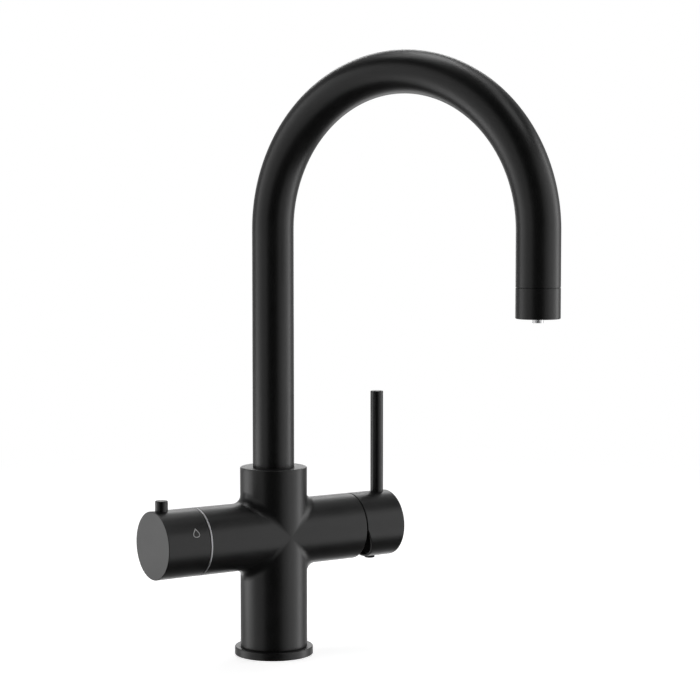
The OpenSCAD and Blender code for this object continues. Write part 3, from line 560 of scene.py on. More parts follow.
@dataclass(frozen=True)
class PrintedInk(Patched):
    """Grey pad-printed ink, a little thinner and drier in places."""

    low: Colour = (0.34, 0.34, 0.34)
    high: Colour = (0.46, 0.46, 0.46)
    roughness: float = 0.5
    unevenness: float = 0.2
    patch_size: float = 0.5 * MM
    patch_detail: float = 3.0
    grain_size: float = 0.5 * MM
    grain_detail: float = 3.0
    depth: float = 0.004 * MM


BLACK_COAT = PowderCoat("satin_black_powder_coat", "satin_black")
# Painted shade: a darker, dull coat for the faces inside the mixer cap.
PAINTED_SHADE_BLACK = PaintedShadeCoat("painted_shade_inside_coat", "satin_black")
STEEL_X = TurnedMetal("polished_steel_turned_about_x", "polished_steel", (0.56, 0.56, 0.57), 0.62, Lay.X)
STEEL_Z = TurnedMetal("polished_steel_turned_about_z", "polished_steel", roughness=0.22, lay=Lay.Z)
BRIGHT_STEEL = TurnedMetal(
    "mirror_polished_steel", "polished_steel", (0.92, 0.92, 0.93), 0.1, Lay.Z, metallic=0.55
)
BRASS_X = TurnedMetal("brass_turned_about_x", "brass", (0.76, 0.60, 0.30), 0.27, Lay.X, depth=0.003 * MM)
BRASS_Z = TurnedMetal("brass_turned_about_z", "brass", (0.76, 0.60, 0.30), 0.27, Lay.Z, depth=0.003 * MM)
CERAMIC = LappedCeramic("lapped_ceramic", "ceramic")
WHITE_PLASTIC = MouldedPlastic("white_moulded_plastic", "white_plastic")
GREY_PLASTIC = MouldedPlastic(
    "grey_moulded_plastic", "grey_plastic", (0.2760, 0.2852, 0.3036), (0.30, 0.31, 0.33)
)
BLACK_RUBBER = Rubber("black_sealing_rubber", "black_rubber")
GREY_INK = PrintedInk("grey_printed_ink", "satin_black")


# ------------------------------------------------------------------ shared shapes


@dataclass(frozen=True)
class Axis:
    """A line that pieces are turned about: where it starts, where it points and which way is its side."""

    origin: Vector
    along: Vector
    side: Vector

    def placement(self) -> Matrix:
        """Works out how local coordinates are placed.

        Returns:
            The matrix that takes local Z along the axis and local X to its side.
        """
        along = self.along.normalized()
        across = along.cross(self.side).normalized()
        turn = Matrix((across.cross(along), across, along)).transposed()
        return Matrix.Translation(self.origin) @ turn.to_4x4()

    def point(self, side: float, across: float, along: float) -> Vector:
        """A point by its three local coordinates."""
        return self.placement() @ Vector((side, across, along))


@dataclass(frozen=True)
class Corner:
    """A corner of a turned profile: its radius, its place along the axis and how far it is rounded."""

    radius: float
    height: float
    round: float = 0.0


def corner(radius: float, height: float, rounding: float = 0.0) -> Corner:
    """A corner in millimetres."""
    return Corner(radius * MM, height * MM, rounding * MM)


def rounded(corners: Sequence[Corner], closed: bool, steps: int = 5) -> list[Pair]:
    """Works out a profile's points, with an arc at each rounded corner.

    Args:
        corners: The profile's corners in order.
        closed: True for a ring, whose last corner joins its first.
        steps: Straight pieces in each arc.

    Returns:
        Points as radius and height.
    """
    points = []
    for i, c in enumerate(corners):
        here = Vector((c.radius, c.height))
        inner = closed or 0 < i < len(corners) - 1
        if not c.round or not inner:
            points.append(here)
            continue
        before = corners[i - 1]
        after = corners[(i + 1) % len(corners)]
        back = (Vector((before.radius, before.height)) - here).normalized()
        ahead = (Vector((after.radius, after.height)) - here).normalized()
        half = back.angle(ahead) / 2
        centre = here + (back + ahead).normalized() * (c.round / math.sin(half))
        start = here + back * (c.round / math.tan(half)) - centre
        end = here + ahead * (c.round / math.tan(half)) - centre
        sweep = start.angle(end)
        for k in range(steps + 1):
            a, b = math.sin(sweep * (1 - k / steps)), math.sin(sweep * k / steps)
            points.append(centre + (start * a + end * b) / math.sin(sweep))
    return [(p.x, p.y) for p in points]


def new_object(name: str, content: bpy.types.ID) -> bpy.types.Object:
    """Puts a new object into the scene.

    Args:
        name: Its name.
        content: Its mesh, lamp or camera.

    Returns:
        The object.
    """
    made = bpy.data.objects.new(name, content)
    bpy.context.scene.collection.objects.link(made)
    return made


def solid(
    name: str,
    points: Iterable[Sequence[float]],
    faces: Iterable[Sequence[int]],
    finishes: Sequence[Finish],
    marks: Sequence[int] = (),
) -> bpy.types.Object:
    """Makes a closed object from points and faces, welded, with its faces outwards.

    Args:
        name: The object's name.
        points: The vertices.
        faces: Each face's vertex numbers.
        finishes: The finishes of its material slots.
        marks: Each face's slot number, or nothing for all 0.

    Returns:
        The object.
    """
    mesh = bpy.data.meshes.new(name)
    mesh.from_pydata([tuple(p) for p in points], [], [tuple(f) for f in faces])
    for finish in finishes:
        mesh.materials.append(finish.material())
    if marks:
        mesh.polygons.foreach_set("material_index", list(marks))
    form = bmesh.new()
    form.from_mesh(mesh)
    bmesh.ops.remove_doubles(form, verts=form.verts, dist=WELD)
    bmesh.ops.dissolve_degenerate(form, edges=form.edges, dist=WELD / 10)
    bmesh.ops.recalc_face_normals(form, faces=form.faces)
    form.to_mesh(mesh)
    form.free()
    return new_object(name, mesh)


def turned(
    name: str,
    axis: Axis,
    corners: Sequence[Corner],
    finish: Finish,
    closed: bool = False,
    sides: int = 128,
    shape: Callable[[Vector], Vector] | None = None,
) -> bpy.types.Object:
    """Turns a profile about an axis into a solid, or into a ring if it is closed.

    Args:
        name: The object's name.
        axis: The axis it is turned about.
        corners: The profile, from axis to axis, or right round.
        finish: Its finish.
        closed: True for a ring.
        sides: Steps round the axis.
        shape: Moves each local point before it is placed.

    Returns:
        The object.
    """
    profile = rounded(corners, closed)
    placement = axis.placement()
    points = []
    for radius, height in profile:
        for k in range(sides):
            angle = 2 * math.pi * k / sides
            local = Vector((radius * math.cos(angle), radius * math.sin(angle), height))
            points.append(placement @ (shape(local) if shape else local))
    rows = len(profile)
    faces = []
    for i in range(rows if closed else rows - 1):
        a, b = i * sides, (i + 1) % rows * sides
        if profile[i][0] < WELD and profile[(i + 1) % rows][0] < WELD:
            continue
        faces += [(a + k, a + (k + 1) % sides, b + (k + 1) % sides, b + k) for k in range(sides)]
    return solid(name, points, faces, [finish])


def drill(start: Vector, end: Vector, radius: float) -> bpy.types.Object:
    """Makes a cutter for a drilling in brass, with round ends.

    Args:
        start: The centre of its first round end.
        end: The centre of its last round end.
        radius: Its radius.

    Returns:
        The cutter.
    """
    along = end - start
    length, nearly_round = along.length, radius * ROUND_SHARE
    side = UP if abs(along.z) < 0.5 * length else RIGHT
    profile = [
        Corner(0, -radius), Corner(radius, -radius, nearly_round),
        Corner(radius, length + radius, nearly_round), Corner(0, length + radius),
    ]
    return turned("drill", Axis(start, along, side), profile, BRASS_Z, sides=48)


def bore(
    axis: Axis, steps: Sequence[tuple[float, float, float]], finish: Finish = BRASS_Z
) -> bpy.types.Object:
    """A cutter for a stepped bore.

    Args:
        axis: The bore's axis.
        steps: Radius, start and end of each step in millimetres, one after another along the axis.
        finish: What it leaves on the wall.

    Returns:
        The cutter.
    """
    profile = [corner(0, steps[0][1])]
    for radius, start, end in steps:
        profile += [corner(radius, start), corner(radius, end)]
    profile.append(corner(0, steps[-1][2]))
    return turned("bore", axis, profile, finish, sides=64)


def block(
    name: str, axis: Axis, low: Sequence[float], high: Sequence[float], finish: Finish
) -> bpy.types.Object:
    """Makes a box along an axis.

    Args:
        name: The object's name.
        axis: The axis that its corners are given in.
        low: Its lowest corner.
        high: Its highest corner.
        finish: Its finish.

    Returns:
        The box.
    """
    points = [
        axis.point(x, y, z)
        for x in (low[0], high[0]) for y in (low[1], high[1]) for z in (low[2], high[2])
    ]
    faces = [(0, 1, 3, 2), (4, 6, 7, 5), (0, 4, 5, 1), (2, 3, 7, 6), (0, 2, 6, 4), (1, 5, 7, 3)]
    return solid(name, points, faces, [finish])


def bake(piece: bpy.types.Object) -> bpy.types.Object:
    """Replaces a piece's mesh by what its modifiers make of it, and removes them.

    Args:
        piece: The piece.

    Returns:
        The same piece.
    """
    graph = bpy.context.evaluated_depsgraph_get()
    made = bpy.data.meshes.new_from_object(
        piece.evaluated_get(graph), preserve_all_data_layers=True, depsgraph=graph
    )
    old = piece.data
    piece.modifiers.clear()
    piece.data = made
    made.name = piece.name
    bpy.data.meshes.remove(old)
    return piece


class Cut(Enum):
    """What a carving tool does to a piece."""

    AWAY = "DIFFERENCE"
    JOIN = "UNION"


def carve(
    piece: bpy.types.Object, cutters: Iterable[bpy.types.Object], cut: Cut = Cut.AWAY
) -> bpy.types.Object:
    """Takes cutters out of a piece, or joins them to it, one after another.

    Args:
        piece: What is cut.
        cutters: Closed objects, which are removed afterwards. Their finish stays on the cut's walls.
        cut: Whether they are taken away or joined on.

    Returns:
        The piece.
    """
    tools = list(cutters)
    for tool in tools:
        modifier = piece.modifiers.new("carve", "BOOLEAN")
        modifier.operation = cut.value
        modifier.object = tool
        modifier.solver = "MANIFOLD"
        modifier.material_mode = "TRANSFER"
    bake(piece)
    for tool in tools:
        mesh = tool.data
        bpy.data.objects.remove(tool)
        bpy.data.meshes.remove(mesh)
    return piece


def smooth(piece: bpy.types.Object, sharp: float = 32.0) -> bpy.types.Object:
    """Shades a piece smooth, apart from its sharp edges.

    Args:
        piece: The piece.
        sharp: The angle in degrees from which an edge stays sharp.

    Returns:
        The same piece.
    """
    piece.data.shade_smooth()
    piece.data.set_sharp_from_angle(angle=math.radians(sharp))
    modifier = piece.modifiers.new("normals", "WEIGHTED_NORMAL")
    modifier.keep_sharp = True
    return bake(piece)


def deliver(piece: bpy.types.Object, body: str, finish: Finish, *nodes: str) -> None:
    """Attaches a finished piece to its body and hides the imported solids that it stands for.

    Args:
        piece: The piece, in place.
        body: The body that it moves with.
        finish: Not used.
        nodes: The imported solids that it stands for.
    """
    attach(piece, body)
    if nodes:
        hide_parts(*nodes)
    log.info("%s rides on %s, %d faces", piece.name, body, len(piece.data.polygons))


def middle_x(node: str) -> float:
    """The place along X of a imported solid's middle."""
    low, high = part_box(node)
    return (low.x + high.x) / 2


# ------------------------------------------------------------------ threads


@dataclass
class Thread:
    """A bar with a fine thread, or the tap that cuts one."""

    root: float
    length: float
    pitch: float
    finish: Finish
    lead: float = 0.0
    rows_per_turn: int = 9
    sides: int = 72

    def depth(self) -> float:
        """Height of the thread over its root."""
        return THREAD_DEPTH * self.pitch

    def make(self, name: str, axis: Axis) -> bpy.types.Object:
        """Makes the threaded bar along an axis.

        Args:
            name: The object's name.
            axis: Where it starts and points.

        Returns:
            The closed bar.
        """
        bar = self.tree().grow(name)
        middle = Matrix.Translation((0, 0, self.length / 2))
        bar.data.transform(axis.placement() @ middle)
        return bar

    def tree(self) -> ShapeTree:
        """Builds the tree that raises a helical ridge on a cylinder, fading out at both ends.

        Returns:
            The tree.
        """
        rows = math.ceil(self.length / self.pitch * self.rows_per_turn)
        tree = ShapeTree("thread", {
            "Root Radius": self.root, "Length": self.length, "Pitch": self.pitch, "Depth": self.depth(),
            "Lead": self.lead, "Rows": rows, "Sides": self.sides,
        })
        place = tree.sheet.place
        bar = place("GeometryNodeMeshCylinder", {"fill_type": "NGON"}, {
            "Vertices": tree.size("Sides"), "Side Segments": tree.size("Rows"),
            "Radius": tree.size("Root Radius"), "Depth": tree.size("Length"),
        })
        here = place("GeometryNodeInputPosition")
        x = place("ShaderNodeSeparateXYZ", None, {"Vector": here})
        y, z = x.of("Y"), x.of("Z")
        turn = z / tree.size("Pitch") - y.maths("ARCTAN2", x) / (2 * math.pi)
        ridge = 0.5 - 0.5 * (turn * (2 * math.pi)).maths("COSINE")
        inside = tree.size("Length") * 0.5 - z.maths("ABSOLUTE") - tree.size("Lead")
        fade = (inside / tree.size("Pitch")).within(0.0, 1.0)
        swell = 1.0 + tree.size("Depth") * ridge * fade / tree.size("Root Radius")
        threaded = place("GeometryNodeSetPosition", None, {
            "Geometry": bar, "Position": tree.vector(x * swell, y * swell, z),
        })
        return tree.close(threaded, self.finish)


@dataclass
class GrubScrew:
    """A grub screw with a hexagon socket, and a plain point if it has one."""

    name: str
    body: str
    axis: Axis
    radius: float
    length: float
    point_radius: float = 0.0
    point_length: float = 0.0
    pitch: float = 0.6 * MM
    key_share: float = 0.58
    sides: int = 40

    def make(self) -> None:
        """Makes the screw from its point, at the axis's origin, to its socket."""
        root = self.radius - THREAD_DEPTH * self.pitch
        thread = Thread(root, self.length, self.pitch, STEEL_Z, sides=self.sides)
        screw = thread.make(f"{self.name}_threaded", self.axis)
        flat, start, end = self.key_share * self.radius, self.length - self.radius, self.length + MM
        key = [Corner(0, start), Corner(flat, start), Corner(flat, end), Corner(0, end)]
        carve(screw, [turned("key", self.axis, key, STEEL_Z, sides=6)])
        if self.point_length:
            point = [
                Corner(0, -self.point_length), Corner(self.point_radius, -self.point_length, 0.2 * MM),
                Corner(self.point_radius, MM), Corner(0, MM),
            ]
            carve(screw, [turned("point", self.axis, point, STEEL_Z, sides=self.sides)], Cut.JOIN)
        deliver(smooth(screw), self.body, STEEL_Z, self.name)


# ------------------------------------------------------------------ the body


@dataclass
class Layout:
    """The tap's main axes and sizes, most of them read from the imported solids."""

    feed_radius: float = 2.75 * MM
    radius: float = field(init=False)
    arm_z: float = field(init=False)
    arm_end: float = field(init=False)
    left_end: float = field(init=False)
    handle_start: float = field(init=False)
    handle_end: float = field(init=False)

    def __post_init__(self) -> None:
        """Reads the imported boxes."""
        low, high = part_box("trim_ring")
        self.radius = (high.y - low.y) / 2
        self.arm_z = (high.z + low.z) / 2
        self.left_end = -high.x
        self.arm_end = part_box("body_casting")[1].x
        cap_low, cap_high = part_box("mixer_cap")
        self.handle_start, self.handle_end = cap_low.x, cap_high.x

    def column(self) -> Axis:
        """Up the column from the worktop."""
        return Axis(Vector((0, 0, 0)), UP, RIGHT)

    def mixer(self) -> Axis:
        """Out along the mixer arm, with its side up."""
        return Axis(Vector((0, 0, self.arm_z)), RIGHT, UP)

    def valve(self) -> Axis:
        """Out along the valve arm, with its side up."""
        return Axis(Vector((0, 0, self.arm_z)), LEFT, UP)

    def upright(self, x: float) -> Axis:
        """Up from the arms' axis at a place along X."""
        return Axis(Vector((x, 0, self.arm_z)), UP, RIGHT)

    def downright(self, x: float) -> Axis:
        """Down from the arms' axis at a place along X."""
        return Axis(Vector((x, 0, self.arm_z)), DOWN, RIGHT)


@dataclass
class Base:
    """The flange on the worktop and the brass block with the shank socket and the hose ports."""

    layout: Layout
    edge: float = 0.6 * MM
    lower_edge: float = 0.25 * MM
    groove_in: float = 21.5
    groove_out: float = 24.5
    groove_depth: float = 2.0
    block_foot: float = 0.3 * MM
    block_head: float = 0.5 * MM
    shank_pitch: float = 1.5 * MM
    shank_sides: int = 96
    port_pitch: float = 1.0 * MM
    port_sides: int = 48
    lead: float = 1.0 * MM

    def make(self) -> None:
        """Makes the flange and the block."""
        self.flange()
        self.inlet_block()

    def flange(self) -> None:
        """The round flange, with the gasket's groove in its underside."""
        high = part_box("base_flange")[1]
        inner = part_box("inlet_block")[1].x + PRESS_GAP * MM
        groove = [
            corner(self.groove_in, 0), corner(self.groove_in, self.groove_depth),
            corner(self.groove_out, self.groove_depth), corner(self.groove_out, 0),
        ]
        profile = [
            Corner(inner, 0), *groove, Corner(high.x, 0, self.lower_edge),
            Corner(high.x, high.z, self.edge), Corner(inner, high.z),
        ]
        column = self.layout.column()
        piece = turned("base_flange_turning", column, profile, BLACK_COAT, closed=True, sides=160)
        deliver(smooth(piece), "body", BLACK_COAT, "base_flange")

    def inlet_block(self) -> None:
        """The block, with its socket and ports threaded and a feed drilled on from each port."""
        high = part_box("inlet_block")[1]
        profile = [
            Corner(0, 0), Corner(high.x, 0, self.block_foot), Corner(high.x, high.z, self.block_head),
            Corner(0, high.z),
        ]
        piece = turned("inlet_block_machining", self.layout.column(), profile, BRASS_Z)
        cutters = []
        for mount in frame["record"]["mounts"]:
            if mount["kind"] != "threaded_hole":
                continue
            place, size = Vector(mount["pos_m"]), mount["dims"]
            radius, depth = size["r_mm"] * MM, size["length_mm"] * MM
            shank = mount["name"] == "shank_socket"
            pitch = self.shank_pitch if shank else self.port_pitch
            sides = self.shank_sides if shank else self.port_sides
            thread = Thread(radius, depth + self.lead, pitch, BRASS_Z, self.lead, sides=sides)
            cutters.append(thread.make("tap", Axis(place - Vector((0, 0, self.lead)), UP, RIGHT)))
            if not shank:
                low = place + Vector((0, 0, depth - self.lead))
                top = Vector((place.x, place.y, high.z))
                cutters.append(drill(low, top, self.layout.feed_radius))
        deliver(smooth(carve(piece, cutters)), "body", BRASS_Z, "inlet_block")


@dataclass
class CrossBody:
    """The cast body: a column crossed by two equal arms, with rolled fillets and machined bores."""

    layout: Layout
    fillet: float = 8.0 * MM
    top_rim: Pair = (1.3 * MM, 0.7 * MM)
    foot_rim: Pair = (0.35 * MM, 0.35 * MM)
    arm_rim: Pair = (0.2 * MM, 0.2 * MM)
    port_ring: float = 8.0 * MM
    port_x: float = 5.5 * MM
    mixed_radius: float = 3.5 * MM
    boiling_radius: float = 2.4 * MM
    chamber_radius: float = 7.5 * MM
    spigot_bore: float = 12.07 * MM
    spigot_room: float = 2 * MM
    mixer_thread: float = 19.03 * MM
    valve_thread: float = 16.53 * MM
    base_gap: float = 0.1 * MM
    nut_room: float = 0.5 * MM
    nipple_bore: float = 3.03
    screw_bore: float = 2.53
    screw_hole: Pair = (11.0, 25.0)
    screw_point: float = 1.4 * MM
    screw_pitch: float = 0.8 * MM
    angles: int = 72
    straight_rows: int = 4
    arc_rows: int = 12
    rim_rows: int = 4
    sharp: float = 30.0

    def make(self) -> None:
        """Makes the body and its lock screw at the back."""
        self.casting()
        self.lock_screw()

    def casting(self) -> None:
        """The smooth outside in four quarters with the lathe bores, and then the drillings."""
        points, faces, marks = [], [], []
        for across in (1, -1):
            for level in (1, -1):
                self.quarter(across, level, points, faces, marks)
        piece = solid("body_casting_with_bores", points, faces, [BLACK_COAT, BRASS_Z], marks)
        carve(piece, self.drillings())
        deliver(smooth(piece, self.sharp), "body", BLACK_COAT, "body_casting")

    def column_bore(self, level: int) -> list[Pair]:
        """Bores in the column from its axis out to the rim, as radius and height.

        Args:
            level: 1 for the spout's end and -1 for the foot.

        Returns:
            The points, which end where the rim starts.
        """
        layout = self.layout
        low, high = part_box("body_casting")
        if level < 0:
            block_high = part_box("inlet_block")[1]
            inlet = block_high.x + PRESS_GAP * MM
            return [(0.0, block_high.z), (inlet, block_high.z), (inlet, low.z)]
        spigot_low, spigot_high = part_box("spout_spigot")
        spout = spigot_high.x + RUNNING_GAP * MM
        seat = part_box("glide_washer")[0].z - RUNNING_GAP * MM
        floor = layout.arm_z + self.port_ring - self.mixed_radius
        step = spigot_low.z - self.spigot_room
        return [
            (0.0, floor), (self.chamber_radius, floor), (self.chamber_radius, step), (self.spigot_bore, step),
            (self.spigot_bore, seat), (spout, seat), (spout, high.z),
        ]

    def arm_bore(self, across: int) -> list[Pair]:
        """Bores in an arm from its axis out to the rim, as radius and place along the arm.

        Args:
            across: 1 for the mixer arm and -1 for the valve arm.

        Returns:
            The points, which end where the rim starts.
        """
        if across > 0:
            kind, thread, end = "cartridge", self.mixer_thread, self.layout.arm_end
        else:
            kind, thread, end = "valve", self.valve_thread, self.layout.left_end
        chamber = self.nearest(f"{kind}_seals", across)
        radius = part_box(f"{kind}_base")[1].y + self.base_gap
        thread_start = self.nearest(f"{kind}_nut", across) - self.nut_room
        return [
            (0.0, chamber), (radius, chamber), (radius, thread_start), (thread, thread_start), (thread, end),
        ]

    @staticmethod
    def nearest(node: str, across: int) -> float:
        """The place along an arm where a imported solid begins."""
        low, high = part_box(node)
        return low.x if across > 0 else -high.x

    def rim_points(self, edge: Pair, place: float, inwards: int) -> list[Pair]:
        """A rounded rim at the outside radius, as radius and place along the axis.

        Args:
            edge: How far it is rounded across the end face and down the wall.
            place: The end face's place.
            inwards: The direction from the end face into the metal, 1 or -1.

        Returns:
            The points from the end face to the wall.
        """
        turns = [QUARTER * k / self.rim_rows for k in range(self.rim_rows + 1)]
        across, down = edge
        start = self.layout.radius - across
        return [(start + across * math.sin(t), place + inwards * down * (1 - math.cos(t))) for t in turns]

    def quarter(self, across: int, level: int, points: list, faces: list, marks: list) -> None:
        """Adds one quarter of the body: half the column's end, half an arm and the fillet between them.

        Args:
            across: 1 towards the mixer arm and -1 towards the valve arm.
            level: 1 for the upper half and -1 for the lower.
            points: Receives the points.
            faces: Receives the faces.
            marks: Receives each face's slot: 0 for the coat and 1 for bare brass.
        """
        layout = self.layout
        radius, reach = layout.radius, layout.radius + self.fillet
        low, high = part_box("body_casting")
        column_end = high.z if level > 0 else low.z
        arm_end = layout.arm_end if across > 0 else layout.left_end
        column = self.column_bore(level)
        column_rim = self.rim_points(self.top_rim if level > 0 else self.foot_rim, column_end, -level)
        arm = self.arm_bore(across)
        arm_rim = self.rim_points(self.arm_rim, arm_end, -1)
        start = len(points)
        bare = len(column) - 1
        for i in range(self.angles + 1):
            angle = -QUARTER + math.pi * i / self.angles
            c, s = max(math.cos(angle), 0.0), math.sin(angle)
            line = [(r * c, r * s, level * (z - layout.arm_z)) for r, z in column + column_rim]
            wall = level * (column_rim[-1][1] - layout.arm_z)
            line += [
                (radius * c, radius * s, wall + (reach * c - wall) * k / self.straight_rows)
                for k in range(1, self.straight_rows + 1)
            ]
            line += [self.fillet_point(angle, k / self.arc_rows) for k in range(1, self.arc_rows + 1)]
            edge = arm_rim[-1][1]
            line += [
                (reach * c + (edge - reach * c) * k / self.straight_rows, radius * s, radius * c)
                for k in range(1, self.straight_rows)
            ]
            line += [(x, r * s, r * c) for r, x in reversed(arm + arm_rim)]
            points += [(across * x, y, layout.arm_z + level * z) for x, y, z in line]
        rows = len(line)
        bare_end = rows - len(arm)
        for i in range(self.angles):
            for k in range(rows - 1):
                a, b = start + i * rows + k, start + (i + 1) * rows + k
                faces.append((a, b, b + 1, a + 1))
                marks.append(1 if k < bare or k >= bare_end else 0)

    def fillet_point(self, angle: float, share: float) -> tuple[float, float, float]:
        """A point that a ball leaves when it rolls along the valley between column and arm.

        Args:
            angle: The ball's angle about the column, 0 in the arm's own direction.
            share: 0 where it touches the column and 1 where it touches the arm.

        Returns:
            The point from the crossing's centre, towards the arm and the column's end.
        """
        radius, ball = self.layout.radius, self.fillet
        c, s = max(math.cos(angle), 0.0), math.sin(angle)
        wrap = math.acos(min(s * s, 1.0))
        if wrap < WELD:
            near, far = 1 - share, share
        else:
            near = math.sin((1 - share) * wrap) / math.sin(wrap)
            far = math.sin(share * wrap) / math.sin(wrap)
        reach = radius + ball
        return (reach - ball * near) * c, (reach - ball * (near + far)) * s, (reach - ball * far) * c

    def drillings(self) -> list[bpy.types.Object]:
        """Makes the waterways between the ports, the two arms and the spout, and the lock screw's hole.

        Returns:
            Their cutters.
        """
        layout, ring = self.layout, self.port_ring
        block_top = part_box("inlet_block")[1].z
        mixer_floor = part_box("cartridge_seals")[0].x
        valve_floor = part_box("valve_seals")[1].x
        ways = []
        for y in (-ring, ring):
            for x, end in ((self.port_x, mixer_floor), (-self.port_x, valve_floor)):
                knee = Vector((x, y, layout.arm_z))
                ways.append(drill(Vector((x, y, block_top)), knee, layout.feed_radius))
                ways.append(drill(knee, Vector((end, y, layout.arm_z)), layout.feed_radius))
        mixed, boiling = Vector((0, 0, layout.arm_z + ring)), Vector((0, 0, layout.arm_z - ring))
        ways.append(drill(mixed, Vector((mixer_floor, 0, mixed.z)), self.mixed_radius))
        ways.append(drill(boiling, Vector((valve_floor, 0, boiling.z)), self.boiling_radius))
        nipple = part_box("boiling_nipple")[0].z
        ways.append(drill(boiling, Vector((0, 0, nipple)), self.boiling_radius))
        floor = layout.arm_z + ring - self.mixed_radius
        ways.append(bore(layout.column(), [(self.nipple_bore, nipple / MM, floor / MM + 1)]))
        ways.append(bore(self.screw_axis(0.0), [(self.screw_bore, *self.screw_hole)]))
        return ways

    @staticmethod
    def screw_axis(start: float) -> Axis:
        """The lock screw's axis, out to the back from a place along it."""
        low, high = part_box("spout_lock_screw")
        return Axis(Vector((0, start, (low.z + high.z) / 2)), BACK, UP)

    def lock_screw(self) -> None:
        """The grub screw at the back that keeps the spout in and ends its swivel."""
        low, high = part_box("spout_lock_screw")
        start = self.spigot_bore
        GrubScrew(
            "spout_lock_screw", "body", self.screw_axis(start), (high.z - low.z) / 2, high.y - start,
            self.screw_point, start - low.y, self.screw_pitch,
        ).make()


def dress_carried_nodes() -> None:
    """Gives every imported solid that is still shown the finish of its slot, with its rings about its axis."""
    about_x = {"cartridge_nut", "valve_nut", "valve_housing", "stop_ring", "valve_spindle", "pivot_pin"}
    every = (BLACK_COAT, STEEL_Z, BRASS_Z, CERAMIC, WHITE_PLASTIC, GREY_PLASTIC, BLACK_RUBBER)
    finishes = {finish.slot: finish for finish in every}
    turned_about_x = {"brass": BRASS_X, "polished_steel": STEEL_X}
    for part in frame["record"]["subparts"]:
        node, slot = frame["nodes"][part["node"]], part["material_slot"]
        if node.hide_render:
            continue
        finish = turned_about_x.get(slot, finishes[slot]) if part["node"] in about_x else finishes[slot]
        if not node.material_slots:
            raise ValueError(f"{node.name} has no material slot")
        for place in node.material_slots:
            place.material = finish.material()
        log.info("%s keeps its solid, in %s", node.name, finish.name)


# ------------------------------------------------------------------ the spout


